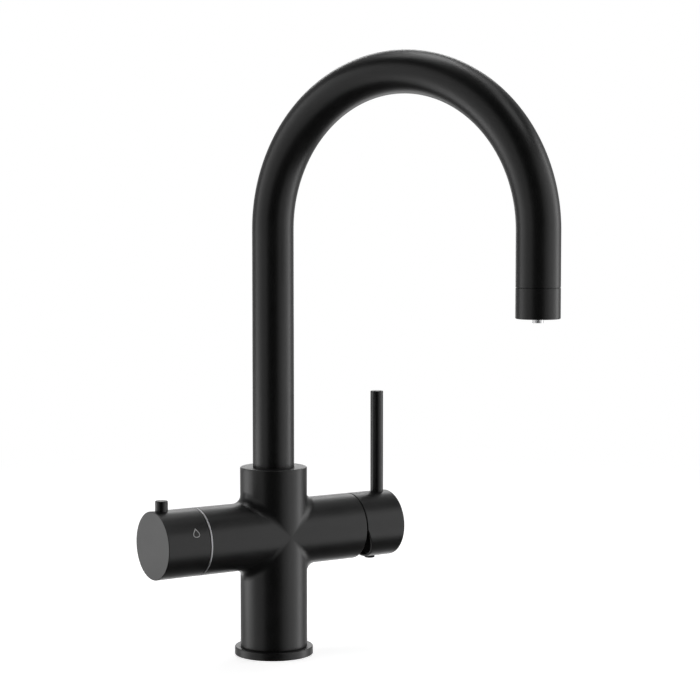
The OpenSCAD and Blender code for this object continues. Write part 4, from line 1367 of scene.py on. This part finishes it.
@dataclass
class Spout:
    """The swan neck with its outlet: tube, collar, aerator and boiling nozzle."""

    layout: Layout
    wall: float = 1.5 * MM
    edge: float = 0.08 * MM
    bend_steps: int = 120
    sides: int = 112
    collar_radius: float = 14.25
    collar_edge: float = 0.8
    collar_bore: float = 10.93
    collar_shelf: float = 13.5
    waterway: float = 8.93
    tenon_radius: float = 12.72
    tenon_top: float = 28.0
    seam_edge: float = 0.08
    seam_low: float = 19.45
    seam_high: float = 19.8
    aerator_hole: float = 5.53
    aerator_sleeve: float = 6.73
    aerator_wall: Pair = (9.7, 10.9)
    aerator_floor: Pair = (1.0, 3.0)
    aerator_top: float = 12.0
    jet_radius: float = 0.9 * MM
    jet_ring: float = 8.2 * MM
    jet_depth: float = 6 * MM
    jet_sides: int = 24
    jets: int = 16
    nozzle_bore: float = 2.1
    nozzle_stem: float = 3.0
    nozzle_tip: float = 3.5
    nozzle_collar: float = 5.5
    nozzle_collar_ends: Pair = (2.0, 12.0)
    nozzle_ends: Pair = (-2.6, 23.0)
    barb_radii: Pair = (2.8, 3.04)
    barb_length: float = 1.8
    barb_pitch: float = 2.4
    barb_start: float = 15.0
    radius: float = field(init=False)
    reach: float = field(init=False)
    heading: float = field(init=False)
    entry_z: float = field(init=False)
    bend_z: float = field(init=False)
    collar_z: float = field(init=False)
    foot: Vector = field(init=False)

    def __post_init__(self) -> None:
        """Reads the neck's radius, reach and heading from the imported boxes."""
        low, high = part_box("spout_tube")
        self.radius = high.y
        collar_low, collar_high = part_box("outlet_collar")
        foot = (collar_low + collar_high) / 2
        self.reach = math.hypot(foot.x, foot.y)
        self.heading = math.atan2(foot.y, foot.x)
        self.entry_z = low.z
        self.bend_z = high.z - self.radius - self.reach / 2
        self.collar_z = collar_low.z
        self.foot = Vector((foot.x, foot.y, collar_low.z))

    def outlet(self) -> Axis:
        """Up from the collar's lower edge."""
        side = Vector((math.cos(self.heading), math.sin(self.heading), 0))
        return Axis(self.foot, UP, side)

    def make(self) -> None:
        """Makes the pieces from the column to the jet."""
        self.neck()
        self.collar()
        self.aerator()
        self.nozzle()

    def neck(self) -> None:
        """The bent tube, swept along its path and given its wall."""
        collar_top = self.collar_z + self.seam_high * MM
        tree = ShapeTree("swan_neck", {
            "Radius": self.radius, "Bend Radius": self.reach / 2, "Bend Height": self.bend_z,
            "Entry Height": self.entry_z, "Outlet Height": collar_top, "Edge": self.edge,
            "Heading": self.heading, "Bend Steps": self.bend_steps, "Sides": self.sides,
        })
        place, size = tree.sheet.place, tree.size
        steps = size("Bend Steps")
        line = place("GeometryNodeMeshLine", None, {"Count": steps + 5})
        index = place("GeometryNodeInputIndex")
        lower = (2.0 - index).most(0.0)
        upper = (index - steps - 2.0).most(0.0)
        turn = ((index - 2.0) / steps).within(0.0, 1.0) * math.pi
        bend = size("Bend Radius")
        x = bend - bend * turn.maths("COSINE")
        drop_in = self.end_drop(lower, size("Bend Height") - size("Entry Height"), size("Edge"))
        drop_out = self.end_drop(upper, size("Bend Height") - size("Outlet Height"), size("Edge"))
        z = size("Bend Height") + bend * turn.maths("SINE") - drop_in - drop_out
        curve = place("GeometryNodeMeshToCurve", None, {"Mesh": line})
        bent = place("GeometryNodeSetPosition", None, {"Geometry": curve, "Position": tree.vector(x, 0.0, z)})
        ends = (lower - 1.0).most(0.0) + (upper - 1.0).most(0.0)
        scale = 1.0 - ends * size("Edge") / size("Radius")
        tube = place("GeometryNodeCurveToMesh", None, {
            "Curve": bent, "Profile Curve": tree.ring(size("Radius"), size("Sides")), "Scale": scale,
        })
        turned_tube = place("GeometryNodeTransform", None, {
            "Geometry": tube, "Rotation": tree.vector(0.0, 0.0, size("Heading")),
        })
        piece = tree.close(turned_tube, BLACK_COAT).grow("swan_neck_tube")
        wall = piece.modifiers.new("wall", "SOLIDIFY")
        wall.thickness = self.wall
        wall.offset = -1.0
        wall.use_even_offset = True
        deliver(smooth(bake(piece)), "spout", BLACK_COAT, "spout_tube")

    @staticmethod
    def end_drop(ahead: Wire, straight: Wire, edge: Wire) -> Wire:
        """How far a point of the path lies below the bend's centre.

        Args:
            ahead: 2 at the path's end, 1 an edge before it and 0 elsewhere.
            straight: Length of the straight stretch.
            edge: Length of the end's edge.

        Returns:
            The drop.
        """
        return ahead.least(1.0) * (straight - edge) + (ahead - 1.0).most(0.0) * edge

    def collar(self) -> None:
        """The collar below the seam, with a bore for the aerator and a neck that fills the tube."""
        radius, seam = self.collar_radius, self.seam_low
        profile = [
            corner(self.collar_bore, 0, 0.15), corner(radius, 0, self.collar_edge),
            corner(radius, seam, self.seam_edge), corner(self.tenon_radius, seam),
            corner(self.tenon_radius, self.tenon_top, 0.4), corner(self.waterway, self.tenon_top),
            corner(self.waterway, self.collar_shelf), corner(self.collar_bore, self.collar_shelf),
        ]
        piece = turned("outlet_collar_turning", self.outlet(), profile, BLACK_COAT, closed=True)
        deliver(smooth(piece), "spout", BLACK_COAT, "outlet_collar")

    def aerator(self) -> None:
        """The aerator, a moulded ring with its jets punched in a circle."""
        hole, sleeve, top = self.aerator_hole, self.aerator_sleeve, self.aerator_top
        inner, outer = self.aerator_wall
        low, floor = self.aerator_floor
        profile = [
            corner(hole, low), corner(outer, low, 0.3), corner(outer, top), corner(inner, top),
            corner(inner, floor), corner(sleeve, floor), corner(sleeve, top), corner(hole, top),
        ]
        ring = turned("aerator", Axis(Vector((0, 0, 0)), UP, RIGHT), profile, GREY_PLASTIC, closed=True)
        tree = ShapeTree("aerator_jets", {
            "Jet Radius": self.jet_radius, "Ring Radius": self.jet_ring, "Jets": self.jets,
            "Depth": self.jet_depth,
        })
        place, size = tree.sheet.place, tree.size
        pin = place("GeometryNodeMeshCylinder", {"fill_type": "NGON"}, {
            "Vertices": self.jet_sides, "Radius": size("Jet Radius"), "Depth": size("Depth"),
        })
        circle = place("GeometryNodeMeshCircle", None, {
            "Vertices": size("Jets"), "Radius": size("Ring Radius"),
        })
        pins = place("GeometryNodeInstanceOnPoints", None, {"Points": circle, "Instance": pin})
        real = place("GeometryNodeRealizeInstances", None, {"Geometry": pins})
        punched = place("GeometryNodeMeshBoolean", {"operation": "DIFFERENCE", "solver": "MANIFOLD"}, {
            "Mesh 1": tree.entry, "Mesh 2": real,
        })
        piece = tree.close(punched, GREY_PLASTIC).grow("aerator_moulding", ring)
        piece.data.transform(self.outlet().placement())
        deliver(smooth(piece), "spout", GREY_PLASTIC, "aerator_insert")

    def nozzle(self) -> None:
        """The polished boiling nozzle, with its barbs inside the neck."""
        hole, stem, tip, wide = self.nozzle_bore, self.nozzle_stem, self.nozzle_tip, self.nozzle_collar
        foot, head = self.nozzle_ends
        low, high = self.nozzle_collar_ends
        waist, barb = self.barb_radii
        barbs = []
        for k in (2, 1, 0):
            start = self.barb_start + self.barb_pitch * k
            barbs += [corner(waist, start + self.barb_length), corner(barb, start)]
        profile = [
            corner(hole, foot, 0.2), corner(hole, head), corner(stem, head, 0.3), *barbs, corner(stem, high),
            corner(wide, high, 0.3), corner(wide, low, 0.3), corner(tip, low), corner(tip, foot, 0.4),
        ]
        piece = turned("boiling_nozzle_turning", self.outlet(), profile, BRIGHT_STEEL, closed=True, sides=96)
        deliver(smooth(piece), "spout", BRIGHT_STEEL, "boiling_nozzle")


# ------------------------------------------------------------------ the mixer's handle


@dataclass
class MixerHandle:
    """The mixer's cap with its slanted lower rim, the lever rod, the plug and the cover behind the cap."""

    layout: Layout
    tilt: float = 25.0
    hollow_radius: float = 20.0
    relief_radius: float = 21.6
    relief_end: float = 68.0
    seam: float = 0.25 * MM
    hollow_end: float = 77.0
    hub_radius: float = 8.857
    hub_offset: float = 3.5 * MM
    hub_start: float = 72.0
    stem_half: float = 4.03 * MM
    stem_length: float = 24.4 * MM
    pivot_x: float = 61.39 * MM
    rod_seat: float = 20.5
    rod_bore: float = 4.53
    tenon_low: float = 11.0
    tenon_radius: float = 3.0
    tenon_bore: float = 3.03
    grub_bore: float = 2.53
    plug_seat: float = 17.8
    plug_bore: float = 3.2
    plug_radius: float = 3.17
    plug_top: float = 18.0
    plug_rim: float = 23.02
    cover_wall: float = 0.8
    cover_neck: float = 13.6
    cover_slope: Pair = (0.77, 1.57)
    inside_margin: float = 0.02
    sharp: float = 28.0

    def make(self) -> None:
        """Makes the handle's four pieces."""
        self.cap()
        self.rod()
        self.plug()
        self.cover()

    def slant(self, point: Vector) -> Vector:
        """Draws the lower half of the cap's rim outwards, to the plane that meets the arm at full flow.

        Args:
            point: A point of the turned cup, with its side up along X and the arm's axis along Z.

        Returns:
            Where it goes.
        """
        if point.z > (self.layout.handle_start + self.hollow_end * MM) / 2 or point.x >= 0:
            return point
        return point + Vector((0, 0, -point.x * math.tan(math.radians(self.tilt))))

    def cap(self) -> None:
        """The cap as a turned cup with a slanted rim, a hub for the stem and holes for rod and plug."""
        layout = self.layout
        start, end, radius = layout.handle_start + self.seam, layout.handle_end, layout.radius
        profile = [
            corner(0, self.hollow_end), corner(self.hollow_radius, self.hollow_end, 0.8),
            corner(self.hollow_radius, self.relief_end), corner(self.relief_radius, self.relief_end),
            Corner(self.relief_radius * MM, start, 0.2 * MM), Corner(radius, start, 0.4 * MM),
            Corner(radius, end, 0.45 * MM), Corner(0, end),
        ]
        axis = layout.mixer()
        piece = turned("mixer_cap_turning", axis, profile, BLACK_COAT, sides=144, shape=self.slant)
        self.paint_inside_shade(piece, end)
        hub_axis = Axis(axis.origin + axis.side * self.hub_offset, axis.along, axis.side)
        hub = bore(hub_axis, [(self.hub_radius, self.hub_start, self.hollow_end + 1)], BLACK_COAT)
        carve(piece, [hub], Cut.JOIN)
        lean = math.radians(self.tilt / 2)
        along = axis.along * math.cos(lean) + axis.side * math.sin(lean)
        stem = Axis(Vector((self.pivot_x, 0, layout.arm_z)), along, axis.side)
        half = self.stem_half
        tenon = (self.tenon_bore, self.tenon_low - 0.5, self.rod_seat)
        grub = (self.grub_bore, -2.0, self.plug_seat)
        cutters = [
            bore(layout.upright(middle_x("lever_rod")), [tenon, (self.rod_bore, self.rod_seat, PAST_WALL)]),
            bore(
                layout.downright(middle_x("cap_plug")), [grub, (self.plug_bore, self.plug_seat, PAST_WALL)],
                BLACK_COAT,
            ),
            block("stem_slot", stem, (-half, -half, 0), (half, half, self.stem_length), BRASS_X),
        ]
        deliver(smooth(carve(piece, cutters), self.sharp), "mixer_lever", BLACK_COAT, "mixer_cap")

    def paint_inside_shade(self, piece: bpy.types.Object, end: float) -> None:
        """Gives the faces within the cap's wall a darker, dull coat, which is painted shade.

        Args:
            piece: The turned cap.
            end: The place of its closed end.
        """
        # The darker coat inside the cap is painted shade.
        piece.data.materials.append(PAINTED_SHADE_BLACK.material())
        for face in piece.data.polygons:
            x, y, z = face.center
            within = math.hypot(y, z - self.layout.arm_z) < (self.relief_radius + self.inside_margin) * MM
            if within and x < end - MM:
                face.material_index = 1

    def rod(self) -> None:
        """The straight lever rod with the tenon that holds it in the cap."""
        low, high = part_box("lever_rod")
        radius, top = (high.x - low.x) / 2, high.z - self.layout.arm_z
        profile = [
            corner(0, self.tenon_low), corner(self.tenon_radius, self.tenon_low, 0.4),
            corner(self.tenon_radius, self.rod_seat), Corner(radius, self.rod_seat * MM, 0.3 * MM),
            Corner(radius, top, 0.5 * MM), Corner(0, top),
        ]
        axis = self.layout.upright(middle_x("lever_rod"))
        piece = turned("lever_rod_turning", axis, profile, BLACK_COAT, sides=80)
        deliver(smooth(piece), "mixer_lever", BLACK_COAT, "lever_rod")

    def plug(self) -> None:
        """The rubber plug over the grub screw, below the cap."""
        low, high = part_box("cap_plug")
        radius, out = (high.x - low.x) / 2, self.layout.arm_z - low.z
        profile = [
            corner(0, self.plug_top), corner(self.plug_radius, self.plug_top, 0.3),
            corner(self.plug_radius, self.plug_rim), Corner(radius, self.plug_rim * MM),
            Corner(radius, out, 0.55 * MM), Corner(0, out),
        ]
        axis = self.layout.downright(middle_x("cap_plug"))
        piece = turned("cap_plug_moulding", axis, profile, BLACK_RUBBER, sides=64)
        deliver(smooth(piece), "mixer_lever", BLACK_RUBBER, "cap_plug")

    def cover(self) -> None:
        """The thin black cover over the cartridge nut, seen through the slanted gap."""
        low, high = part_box("cartridge_cover")
        foot, top, radius = low.x / MM, high.x / MM, high.y / MM
        wall, neck = self.cover_wall, self.cover_neck
        inner, outer = self.cover_slope
        profile = [
            corner(radius - wall, foot), corner(radius, foot), corner(radius, foot + wall, 0.3),
            corner(neck + outer, top, 0.3), corner(neck, top), corner(neck, top - wall),
            corner(neck + inner, top - wall), corner(radius - wall, foot + wall),
        ]
        piece = turned("cartridge_cover_pressing", self.layout.mixer(), profile, BLACK_COAT, closed=True)
        deliver(smooth(piece), "body", BLACK_COAT, "cartridge_cover")


# ------------------------------------------------------------------ the boiling water control


@dataclass
class BoilingControl:
    """The polished ring, the knob with its printed drop, and the safety button on its spring."""

    layout: Layout
    ring_bore: float = 16.53
    knob_bore: float = 17.0
    relief_bore: float = 20.4
    relief_end: float = 65.5
    hub_radius: float = 8.5
    hub_start: float = 84.6
    bore_end: float = 91.6
    square_half: float = 3.23 * MM
    square_start: float = 80.0
    button_floor: float = 18.5
    button_wall: float = 0.85
    pin_bore: float = 1.57
    pin_seat: float = 1.53
    pin_depth: float = 2.0
    spring_room: float = 5.0
    spring_wire: float = 0.3 * MM
    spring_turns: float = 6.0
    spring_steps: int = 40
    spring_sides: int = 12
    grub_radius: float = 2.0
    grub_place: float = 3.5
    grub_hole: Pair = (3.2, 9.5)
    grub_access: float = 16.0
    grub_margin: float = 0.3
    sharp: float = 28.0
    drop_points: int = 96
    drop_x: float = -73.0 * MM
    drop_angle: float = 155.0
    drop_width: float = 5.0 * MM
    drop_height: float = 6.6 * MM
    drop_line: float = 0.55 * MM
    drop_tip: float = 3.2
    drop_sink: float = 0.55
    drop_taper: float = 1.5
    drop_belly: float = 0.705
    ink: float = 0.03 * MM
    button_x: float = field(init=False)
    button_radius: float = field(init=False)
    button_low: float = field(init=False)
    button_top: float = field(init=False)

    def __post_init__(self) -> None:
        """Reads the button's place from its packed box."""
        low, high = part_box("safety_button")
        self.button_x = (low.x + high.x) / 2
        self.button_radius = (high.x - low.x) / 2 / MM
        self.button_low = (low.z - self.layout.arm_z) / MM
        self.button_top = (high.z - self.layout.arm_z) / MM

    def make(self) -> None:
        """Makes the control's pieces from the arm outwards."""
        self.ring()
        self.knob()
        self.button()
        self.spring()
        self.drop()

    def ring(self) -> None:
        """The polished ring between the arm and the knob."""
        start, end, radius = self.layout.left_end, self.layout.arm_end, self.layout.radius
        inner = self.ring_bore * MM
        profile = [
            Corner(inner, start), Corner(radius, start, 0.15 * MM), Corner(radius, end, 0.15 * MM),
            Corner(inner, end),
        ]
        piece = turned("trim_ring_turning", self.layout.valve(), profile, STEEL_X, closed=True, sides=160)
        deliver(smooth(piece), "body", STEEL_X, "trim_ring")

    def knob(self) -> None:
        """The knob as a turned cup with a hub, a well for the button and holes for pin and grub screw."""
        layout = self.layout
        start, end, radius = layout.handle_start, layout.handle_end, layout.radius
        profile = [
            corner(0, self.hub_start), corner(self.hub_radius, self.hub_start, 0.3),
            corner(self.hub_radius, self.bore_end), corner(self.knob_bore, self.bore_end, 0.5),
            corner(self.knob_bore, self.relief_end), corner(self.relief_bore, self.relief_end),
            Corner(self.relief_bore * MM, start, 0.2 * MM), Corner(radius, start, 0.25 * MM),
            Corner(radius, end, 0.45 * MM), Corner(0, end),
        ]
        axis = layout.valve()
        piece = turned("control_knob_turning", axis, profile, BLACK_COAT, sides=144)
        half, square_end = self.square_half, (self.bore_end - 0.2) * MM
        grub = layout.downright(-(self.hub_start + self.grub_place) * MM)
        well = [
            (self.pin_bore, self.knob_bore - 1, self.button_floor),
            (self.button_radius + RUNNING_GAP, self.button_floor, PAST_WALL),
        ]
        cutters = [
            block("square", axis, (-half, -half, self.square_start * MM), (half, half, square_end), BRASS_X),
            bore(layout.upright(self.button_x), well, BLACK_COAT),
            bore(grub, [(self.grub_radius + PRESS_GAP, *self.grub_hole)], BRASS_X),
            bore(grub, [(self.grub_radius + self.grub_margin, self.grub_access, PAST_WALL)], BLACK_COAT),
        ]
        deliver(smooth(carve(piece, cutters), self.sharp), "knob", BLACK_COAT, "control_knob")

    def button(self) -> None:
        """The safety button, hollow below for its spring and drilled for the pin."""
        radius, low, top = self.button_radius, self.button_low, self.button_top
        inner, ceiling = radius - self.button_wall, low + self.spring_room
        profile = [
            corner(0, ceiling + self.pin_depth), corner(self.pin_seat, ceiling + self.pin_depth),
            corner(self.pin_seat, ceiling), corner(inner, ceiling), corner(inner, low),
            corner(radius, low, 0.2), corner(radius, top, 0.6), corner(0, top),
        ]
        axis = self.layout.upright(self.button_x)
        piece = turned("safety_button_turning", axis, profile, BLACK_COAT, sides=80)
        deliver(smooth(piece), "button", BLACK_COAT, "safety_button")

    def spring(self) -> None:
        """The button's spring, a smooth wire along a spiral. How far it would shorten as the button goes in is
        worked out but not used.
        """
        low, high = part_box("button_spring")
        wire = self.spring_wire
        tree = ShapeTree("button_spring", {
            "Coil Radius": (high.x - low.x) / 2 - wire, "Wire Radius": wire,
            "Height": high.z - low.z - 2 * wire, "Turns": self.spring_turns,
            "Steps Per Turn": self.spring_steps, "Sides": self.spring_sides,
        })
        place, size = tree.sheet.place, tree.size
        spiral = place("GeometryNodeCurveSpiral", None, {
            "Resolution": size("Steps Per Turn"), "Rotations": size("Turns"), "Height": size("Height"),
            "Start Radius": size("Coil Radius"), "End Radius": size("Coil Radius"),
        })
        profile = tree.ring(size("Wire Radius"), size("Sides"))
        coil = place("GeometryNodeCurveToMesh", None, {
            "Curve": spiral, "Profile Curve": profile, "Fill Caps": True,
        })
        piece = tree.close(coil, STEEL_Z).grow("button_spring_coil")
        foot = Vector((self.button_x, 0, low.z + wire))
        piece.data.transform(Matrix.Translation(foot))
        deliver(smooth(piece), "knob", STEEL_Z, "button_spring")
        travel = next(j for j in frame["joints"] if j["name"] == "button_press")["range_m"][1]
        keep = 1 - travel / (high.z - low.z)
        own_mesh(piece)

    def drop(self) -> None:
        """The printed water drop beside the button: a closed line wrapped on the knob."""
        count = self.drop_points
        points = []
        for lift in (0.0, self.ink):
            for inset in (0.0, self.drop_line):
                for k in range(count):
                    points.append(self.wrap(*self.drop_outline(2 * math.pi * k / count, inset), lift))
        faces = []
        for k in range(count):
            n = (k + 1) % count
            outer, inner = (k, n), (count + k, count + n)
            upper = [tuple(2 * count + i for i in pair) for pair in (outer, inner)]
            faces += [
                (*outer, *inner[::-1]), (*upper[0], *upper[1][::-1]),
                (*outer, *upper[0][::-1]), (*inner, *upper[1][::-1]),
            ]
        piece = solid("printed_water_drop", points, faces, [GREY_INK])
        deliver(smooth(piece), "knob", GREY_INK)

    def drop_outline(self, turn: float, inset: float) -> Pair:
        """Works out a point of the drop's outline, tip up, as across and up from its middle.

        Args:
            turn: 0 at the tip and pi at the foot.
            inset: How far the outline is drawn in. The sharp tip moves further than the round foot, so that
                the line looks equally wide all round.

        Returns:
            The point.
        """
        width, height = self.drop_width - 2 * inset, self.drop_height - self.drop_tip * inset
        belly = math.sin(turn) * math.sin(turn / 2) ** self.drop_taper / self.drop_belly
        return width / 2 * belly, height / 2 * math.cos(turn) - self.drop_sink * inset

    def wrap(self, across: float, up: float, lift: float) -> Vector:
        """Wraps a point of the print on the knob's cylinder.

        Args:
            across: The point's place along the knob, from the print's middle.
            up: Its place round the knob, from the print's middle.
            lift: Its height over the knob's wall.

        Returns:
            The point.
        """
        radius = self.layout.radius
        angle, reach = math.radians(self.drop_angle) - up / radius, radius + lift
        return Vector((
            self.drop_x + across, reach * math.cos(angle), self.layout.arm_z + reach * math.sin(angle),
        ))


def hidden_screws() -> None:
    """Makes the two grub screws that hold the cap on its stem and the knob on its spindle."""
    for node, body, pitch in (("stem_grub_screw", "mixer_lever", 0.8), ("knob_grub_screw", "knob", 0.7)):
        low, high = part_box(node)
        axis = Axis(Vector((middle_x(node), 0, high.z)), DOWN, RIGHT)
        GrubScrew(node, body, axis, (high.x - low.x) / 2, high.z - low.z, pitch=pitch * MM).make()


# ------------------------------------------------------------------ studio


@dataclass
class Softbox:
    """A soft lamp round the object, placed by its bearing from the camera."""

    name: str
    bearing: float
    distance: float
    height: float
    size: Pair
    level: float
    aim: float = 0.15
    watts_per_area: float = 13.0

    def make(self, camera_side: float) -> None:
        """Sets the lamp up, turned to the object.

        Args:
            camera_side: The camera's bearing from the object, in degrees from +X.
        """
        lamp = bpy.data.lights.new(self.name, "AREA")
        lamp.shape = "RECTANGLE"
        lamp.size, lamp.size_y = self.size
        lamp.energy = self.level * self.watts_per_area * self.size[0] * self.size[1]
        made = new_object(self.name, lamp)
        turn = math.radians(camera_side + self.bearing)
        place = Vector((self.distance * math.cos(turn), self.distance * math.sin(turn), self.height))
        made.location = place
        made.rotation_euler = (Vector((0.0, 0.0, self.aim)) - place).to_track_quat("-Z", "Y").to_euler()
        made.visible_camera = False


@dataclass
class Studio:
    """A pale floor, soft light and a camera at the photograph's viewing angle.

    Upright strip lamps stand in an arc on each side of the object, as in a packshot of a dark glossy thing,
    and leave its front dark. They reach below the floor's height, so the floor is left out of reflections
    and casts no shadow on what stands over it.
    """

    lens: float = 103.09
    eye: Vector = field(default_factory=lambda: Vector((-0.72139, -1.16756, 0.30661)))
    heading: float = -33.910
    dip: float = 4.016
    clip: Pair = (0.01, 50.0)
    floor_size: float = 8.0
    floor_tone: Colour = (0.82, 0.82, 0.82)
    floor_glow: float = 0.7
    floor_fade: Pair = (0.25, 1.1)
    room_light: float = 0.05
    backdrop_light: float = 0.42
    backdrop_edge: Pair = (0.1, 0.9)
    strip_distance: float = 2.2
    strip_size: Pair = (0.7, 3.3)
    strip_height: float = 0.15
    right_strips: tuple[Pair, ...] = ((40, 0.13), (60, 0.26), (80, 0.31), (100, 0.57), (110, 0.25))
    left_strips: tuple[Pair, ...] = ((260, 0.40), (280, 0.24), (300, 0.15), (320, 0.14))
    top_size: Pair = (0.8, 0.8)
    top_aim: float = 0.2

    def make(self) -> None:
        """Builds the studio."""
        scene = bpy.context.scene
        scene.view_settings.view_transform = "Standard"
        self.camera(scene)
        self.world(scene)
        self.floor()
        self.lamps()

    def camera(self, scene: bpy.types.Scene) -> None:
        """Sets up the camera, level with its horizon and looking a little down.

        Args:
            scene: The scene that it is for.
        """
        lens = bpy.data.cameras.new("camera")
        lens.lens = self.lens
        lens.clip_start, lens.clip_end = self.clip
        camera = new_object("camera", lens)
        camera.location = self.eye
        camera.rotation_euler = (math.radians(90 - self.dip), 0, math.radians(self.heading))
        scene.camera = camera

    def world(self, scene: bpy.types.Scene) -> None:
        """Makes a room that is white to the eye, with a pale backdrop and a dark front in reflections.

        Args:
            scene: The scene that it is for.
        """
        scene.world = bpy.data.worlds.new("studio")
        sheet = NodeSheet.blank(scene.world)
        rays = sheet.place("ShaderNodeLightPath")
        seen = rays.of("Is Camera Ray")
        mirrored = rays.of("Is Glossy Ray").most(rays.of("Is Transmission Ray"))
        way = sheet.place("ShaderNodeTexCoord").of("Generated")
        turn = math.radians(self.heading)
        back = (-math.sin(turn), math.cos(turn), 0.0)
        toward = sheet.place("ShaderNodeVectorMath", {"operation": "DOT_PRODUCT"}, {0: way, 1: back})
        backdrop = toward.of("Value").swell(*self.backdrop_edge) * self.backdrop_light
        strength = seen.most(mirrored * backdrop).most((1.0 - seen) * self.room_light * (1.0 - mirrored))
        sockets = {"Color": (1.0, 1.0, 1.0, 1.0), "Strength": strength}
        white = sheet.place("ShaderNodeBackground", None, sockets)
        sheet.place("ShaderNodeOutputWorld", None, {"Surface": white})

    def floor(self) -> None:
        """The worktop's plane: pale, white to the eye, with the object's soft shadow on it."""
        half = self.floor_size / 2
        mesh = bpy.data.meshes.new("floor")
        corners = [(-half, -half, 0), (half, -half, 0), (half, half, 0), (-half, half, 0)]
        mesh.from_pydata(corners, [], [(0, 1, 2, 3)])
        floor = new_object("floor", mesh)
        material = bpy.data.materials.new("pale_floor")
        sheet = NodeSheet.blank(material)
        rays = sheet.place("ShaderNodeLightPath")
        seen = rays.of("Is Camera Ray").most(rays.of("Is Transmission Ray"))
        place = sheet.place("ShaderNodeTexCoord").of("Object")
        out = sheet.place("ShaderNodeVectorMath", {"operation": "LENGTH"}, {0: place}).of("Value")
        far = out.swell(*self.floor_fade)
        matt = sheet.place("ShaderNodeBsdfDiffuse", None, {"Color": (*self.floor_tone, 1.0)})
        glow = sheet.place("ShaderNodeEmission", None, {"Strength": self.floor_glow})
        white = sheet.place("ShaderNodeEmission", None, {"Strength": 1.0})
        lit = sheet.place("ShaderNodeAddShader", None, {0: matt, 1: glow})
        shown = sheet.place("ShaderNodeMixShader", None, {0: far, 1: lit, 2: white})
        mixed = sheet.place("ShaderNodeMixShader", None, {0: seen, 1: matt, 2: shown})
        sheet.place("ShaderNodeOutputMaterial", None, {"Surface": mixed})
        mesh.materials.append(material)
        floor.visible_glossy = False
        floor.visible_shadow = False

    def lamps(self) -> None:
        """Strip lamps in an arc on the right and on the left, and soft lamps above and behind."""
        camera_side = 270.0 + self.heading
        distance, height, size = self.strip_distance, self.strip_height, self.strip_size
        strips = [
            Softbox(f"{side}_strip_{k + 1}", bearing, distance, height, size, level)
            for side, lamps in (("right", self.right_strips), ("left", self.left_strips))
            for k, (bearing, level) in enumerate(lamps)
        ]
        tops = [
            Softbox(f"{side}_top_softbox", bearing, away, up, self.top_size, level, self.top_aim)
            for side, bearing, away, up, level in (
                ("back", 180.0, 0.75, 2.27, 0.85), ("right", 60.0, 1.17, 2.07, 0.42),
                ("right_back", 120.0, 0.75, 2.27, 0.33), ("left", 240.0, 0.75, 2.27, 0.49),
            )
        ]
        for softbox in (
            *strips,
            Softbox("low_left_softbox", 260.0, 1.0, -0.06, (0.9, 0.2), 0.37, aim=-0.06),
            Softbox("back_softbox", 180.0, 2.2, 1.4, (1.6, 0.6), 0.75),
            Softbox("back_card", 180.0, 2.2, 0.35, (1.6, 0.5), 0.3),
            Softbox("back_low_card", 180.0, 1.6, -0.75, (1.8, 0.7), 0.3, aim=0.05),
            *tops,
        ):
            softbox.make(camera_side)


# ------------------------------------------------------------------ the whole tap


def main() -> None:
    """Builds the tap's pieces in order, then the studio."""
    logging.basicConfig(level=logging.INFO, format="%(name)s: %(message)s")
    layout = Layout()
    for assembly in (
        Base(layout), CrossBody(layout), Spout(layout), MixerHandle(layout), BoilingControl(layout),
    ):
        assembly.make()
    hidden_screws()
    dress_carried_nodes()
    Studio().make()


if __name__ == "__main__":
    main()
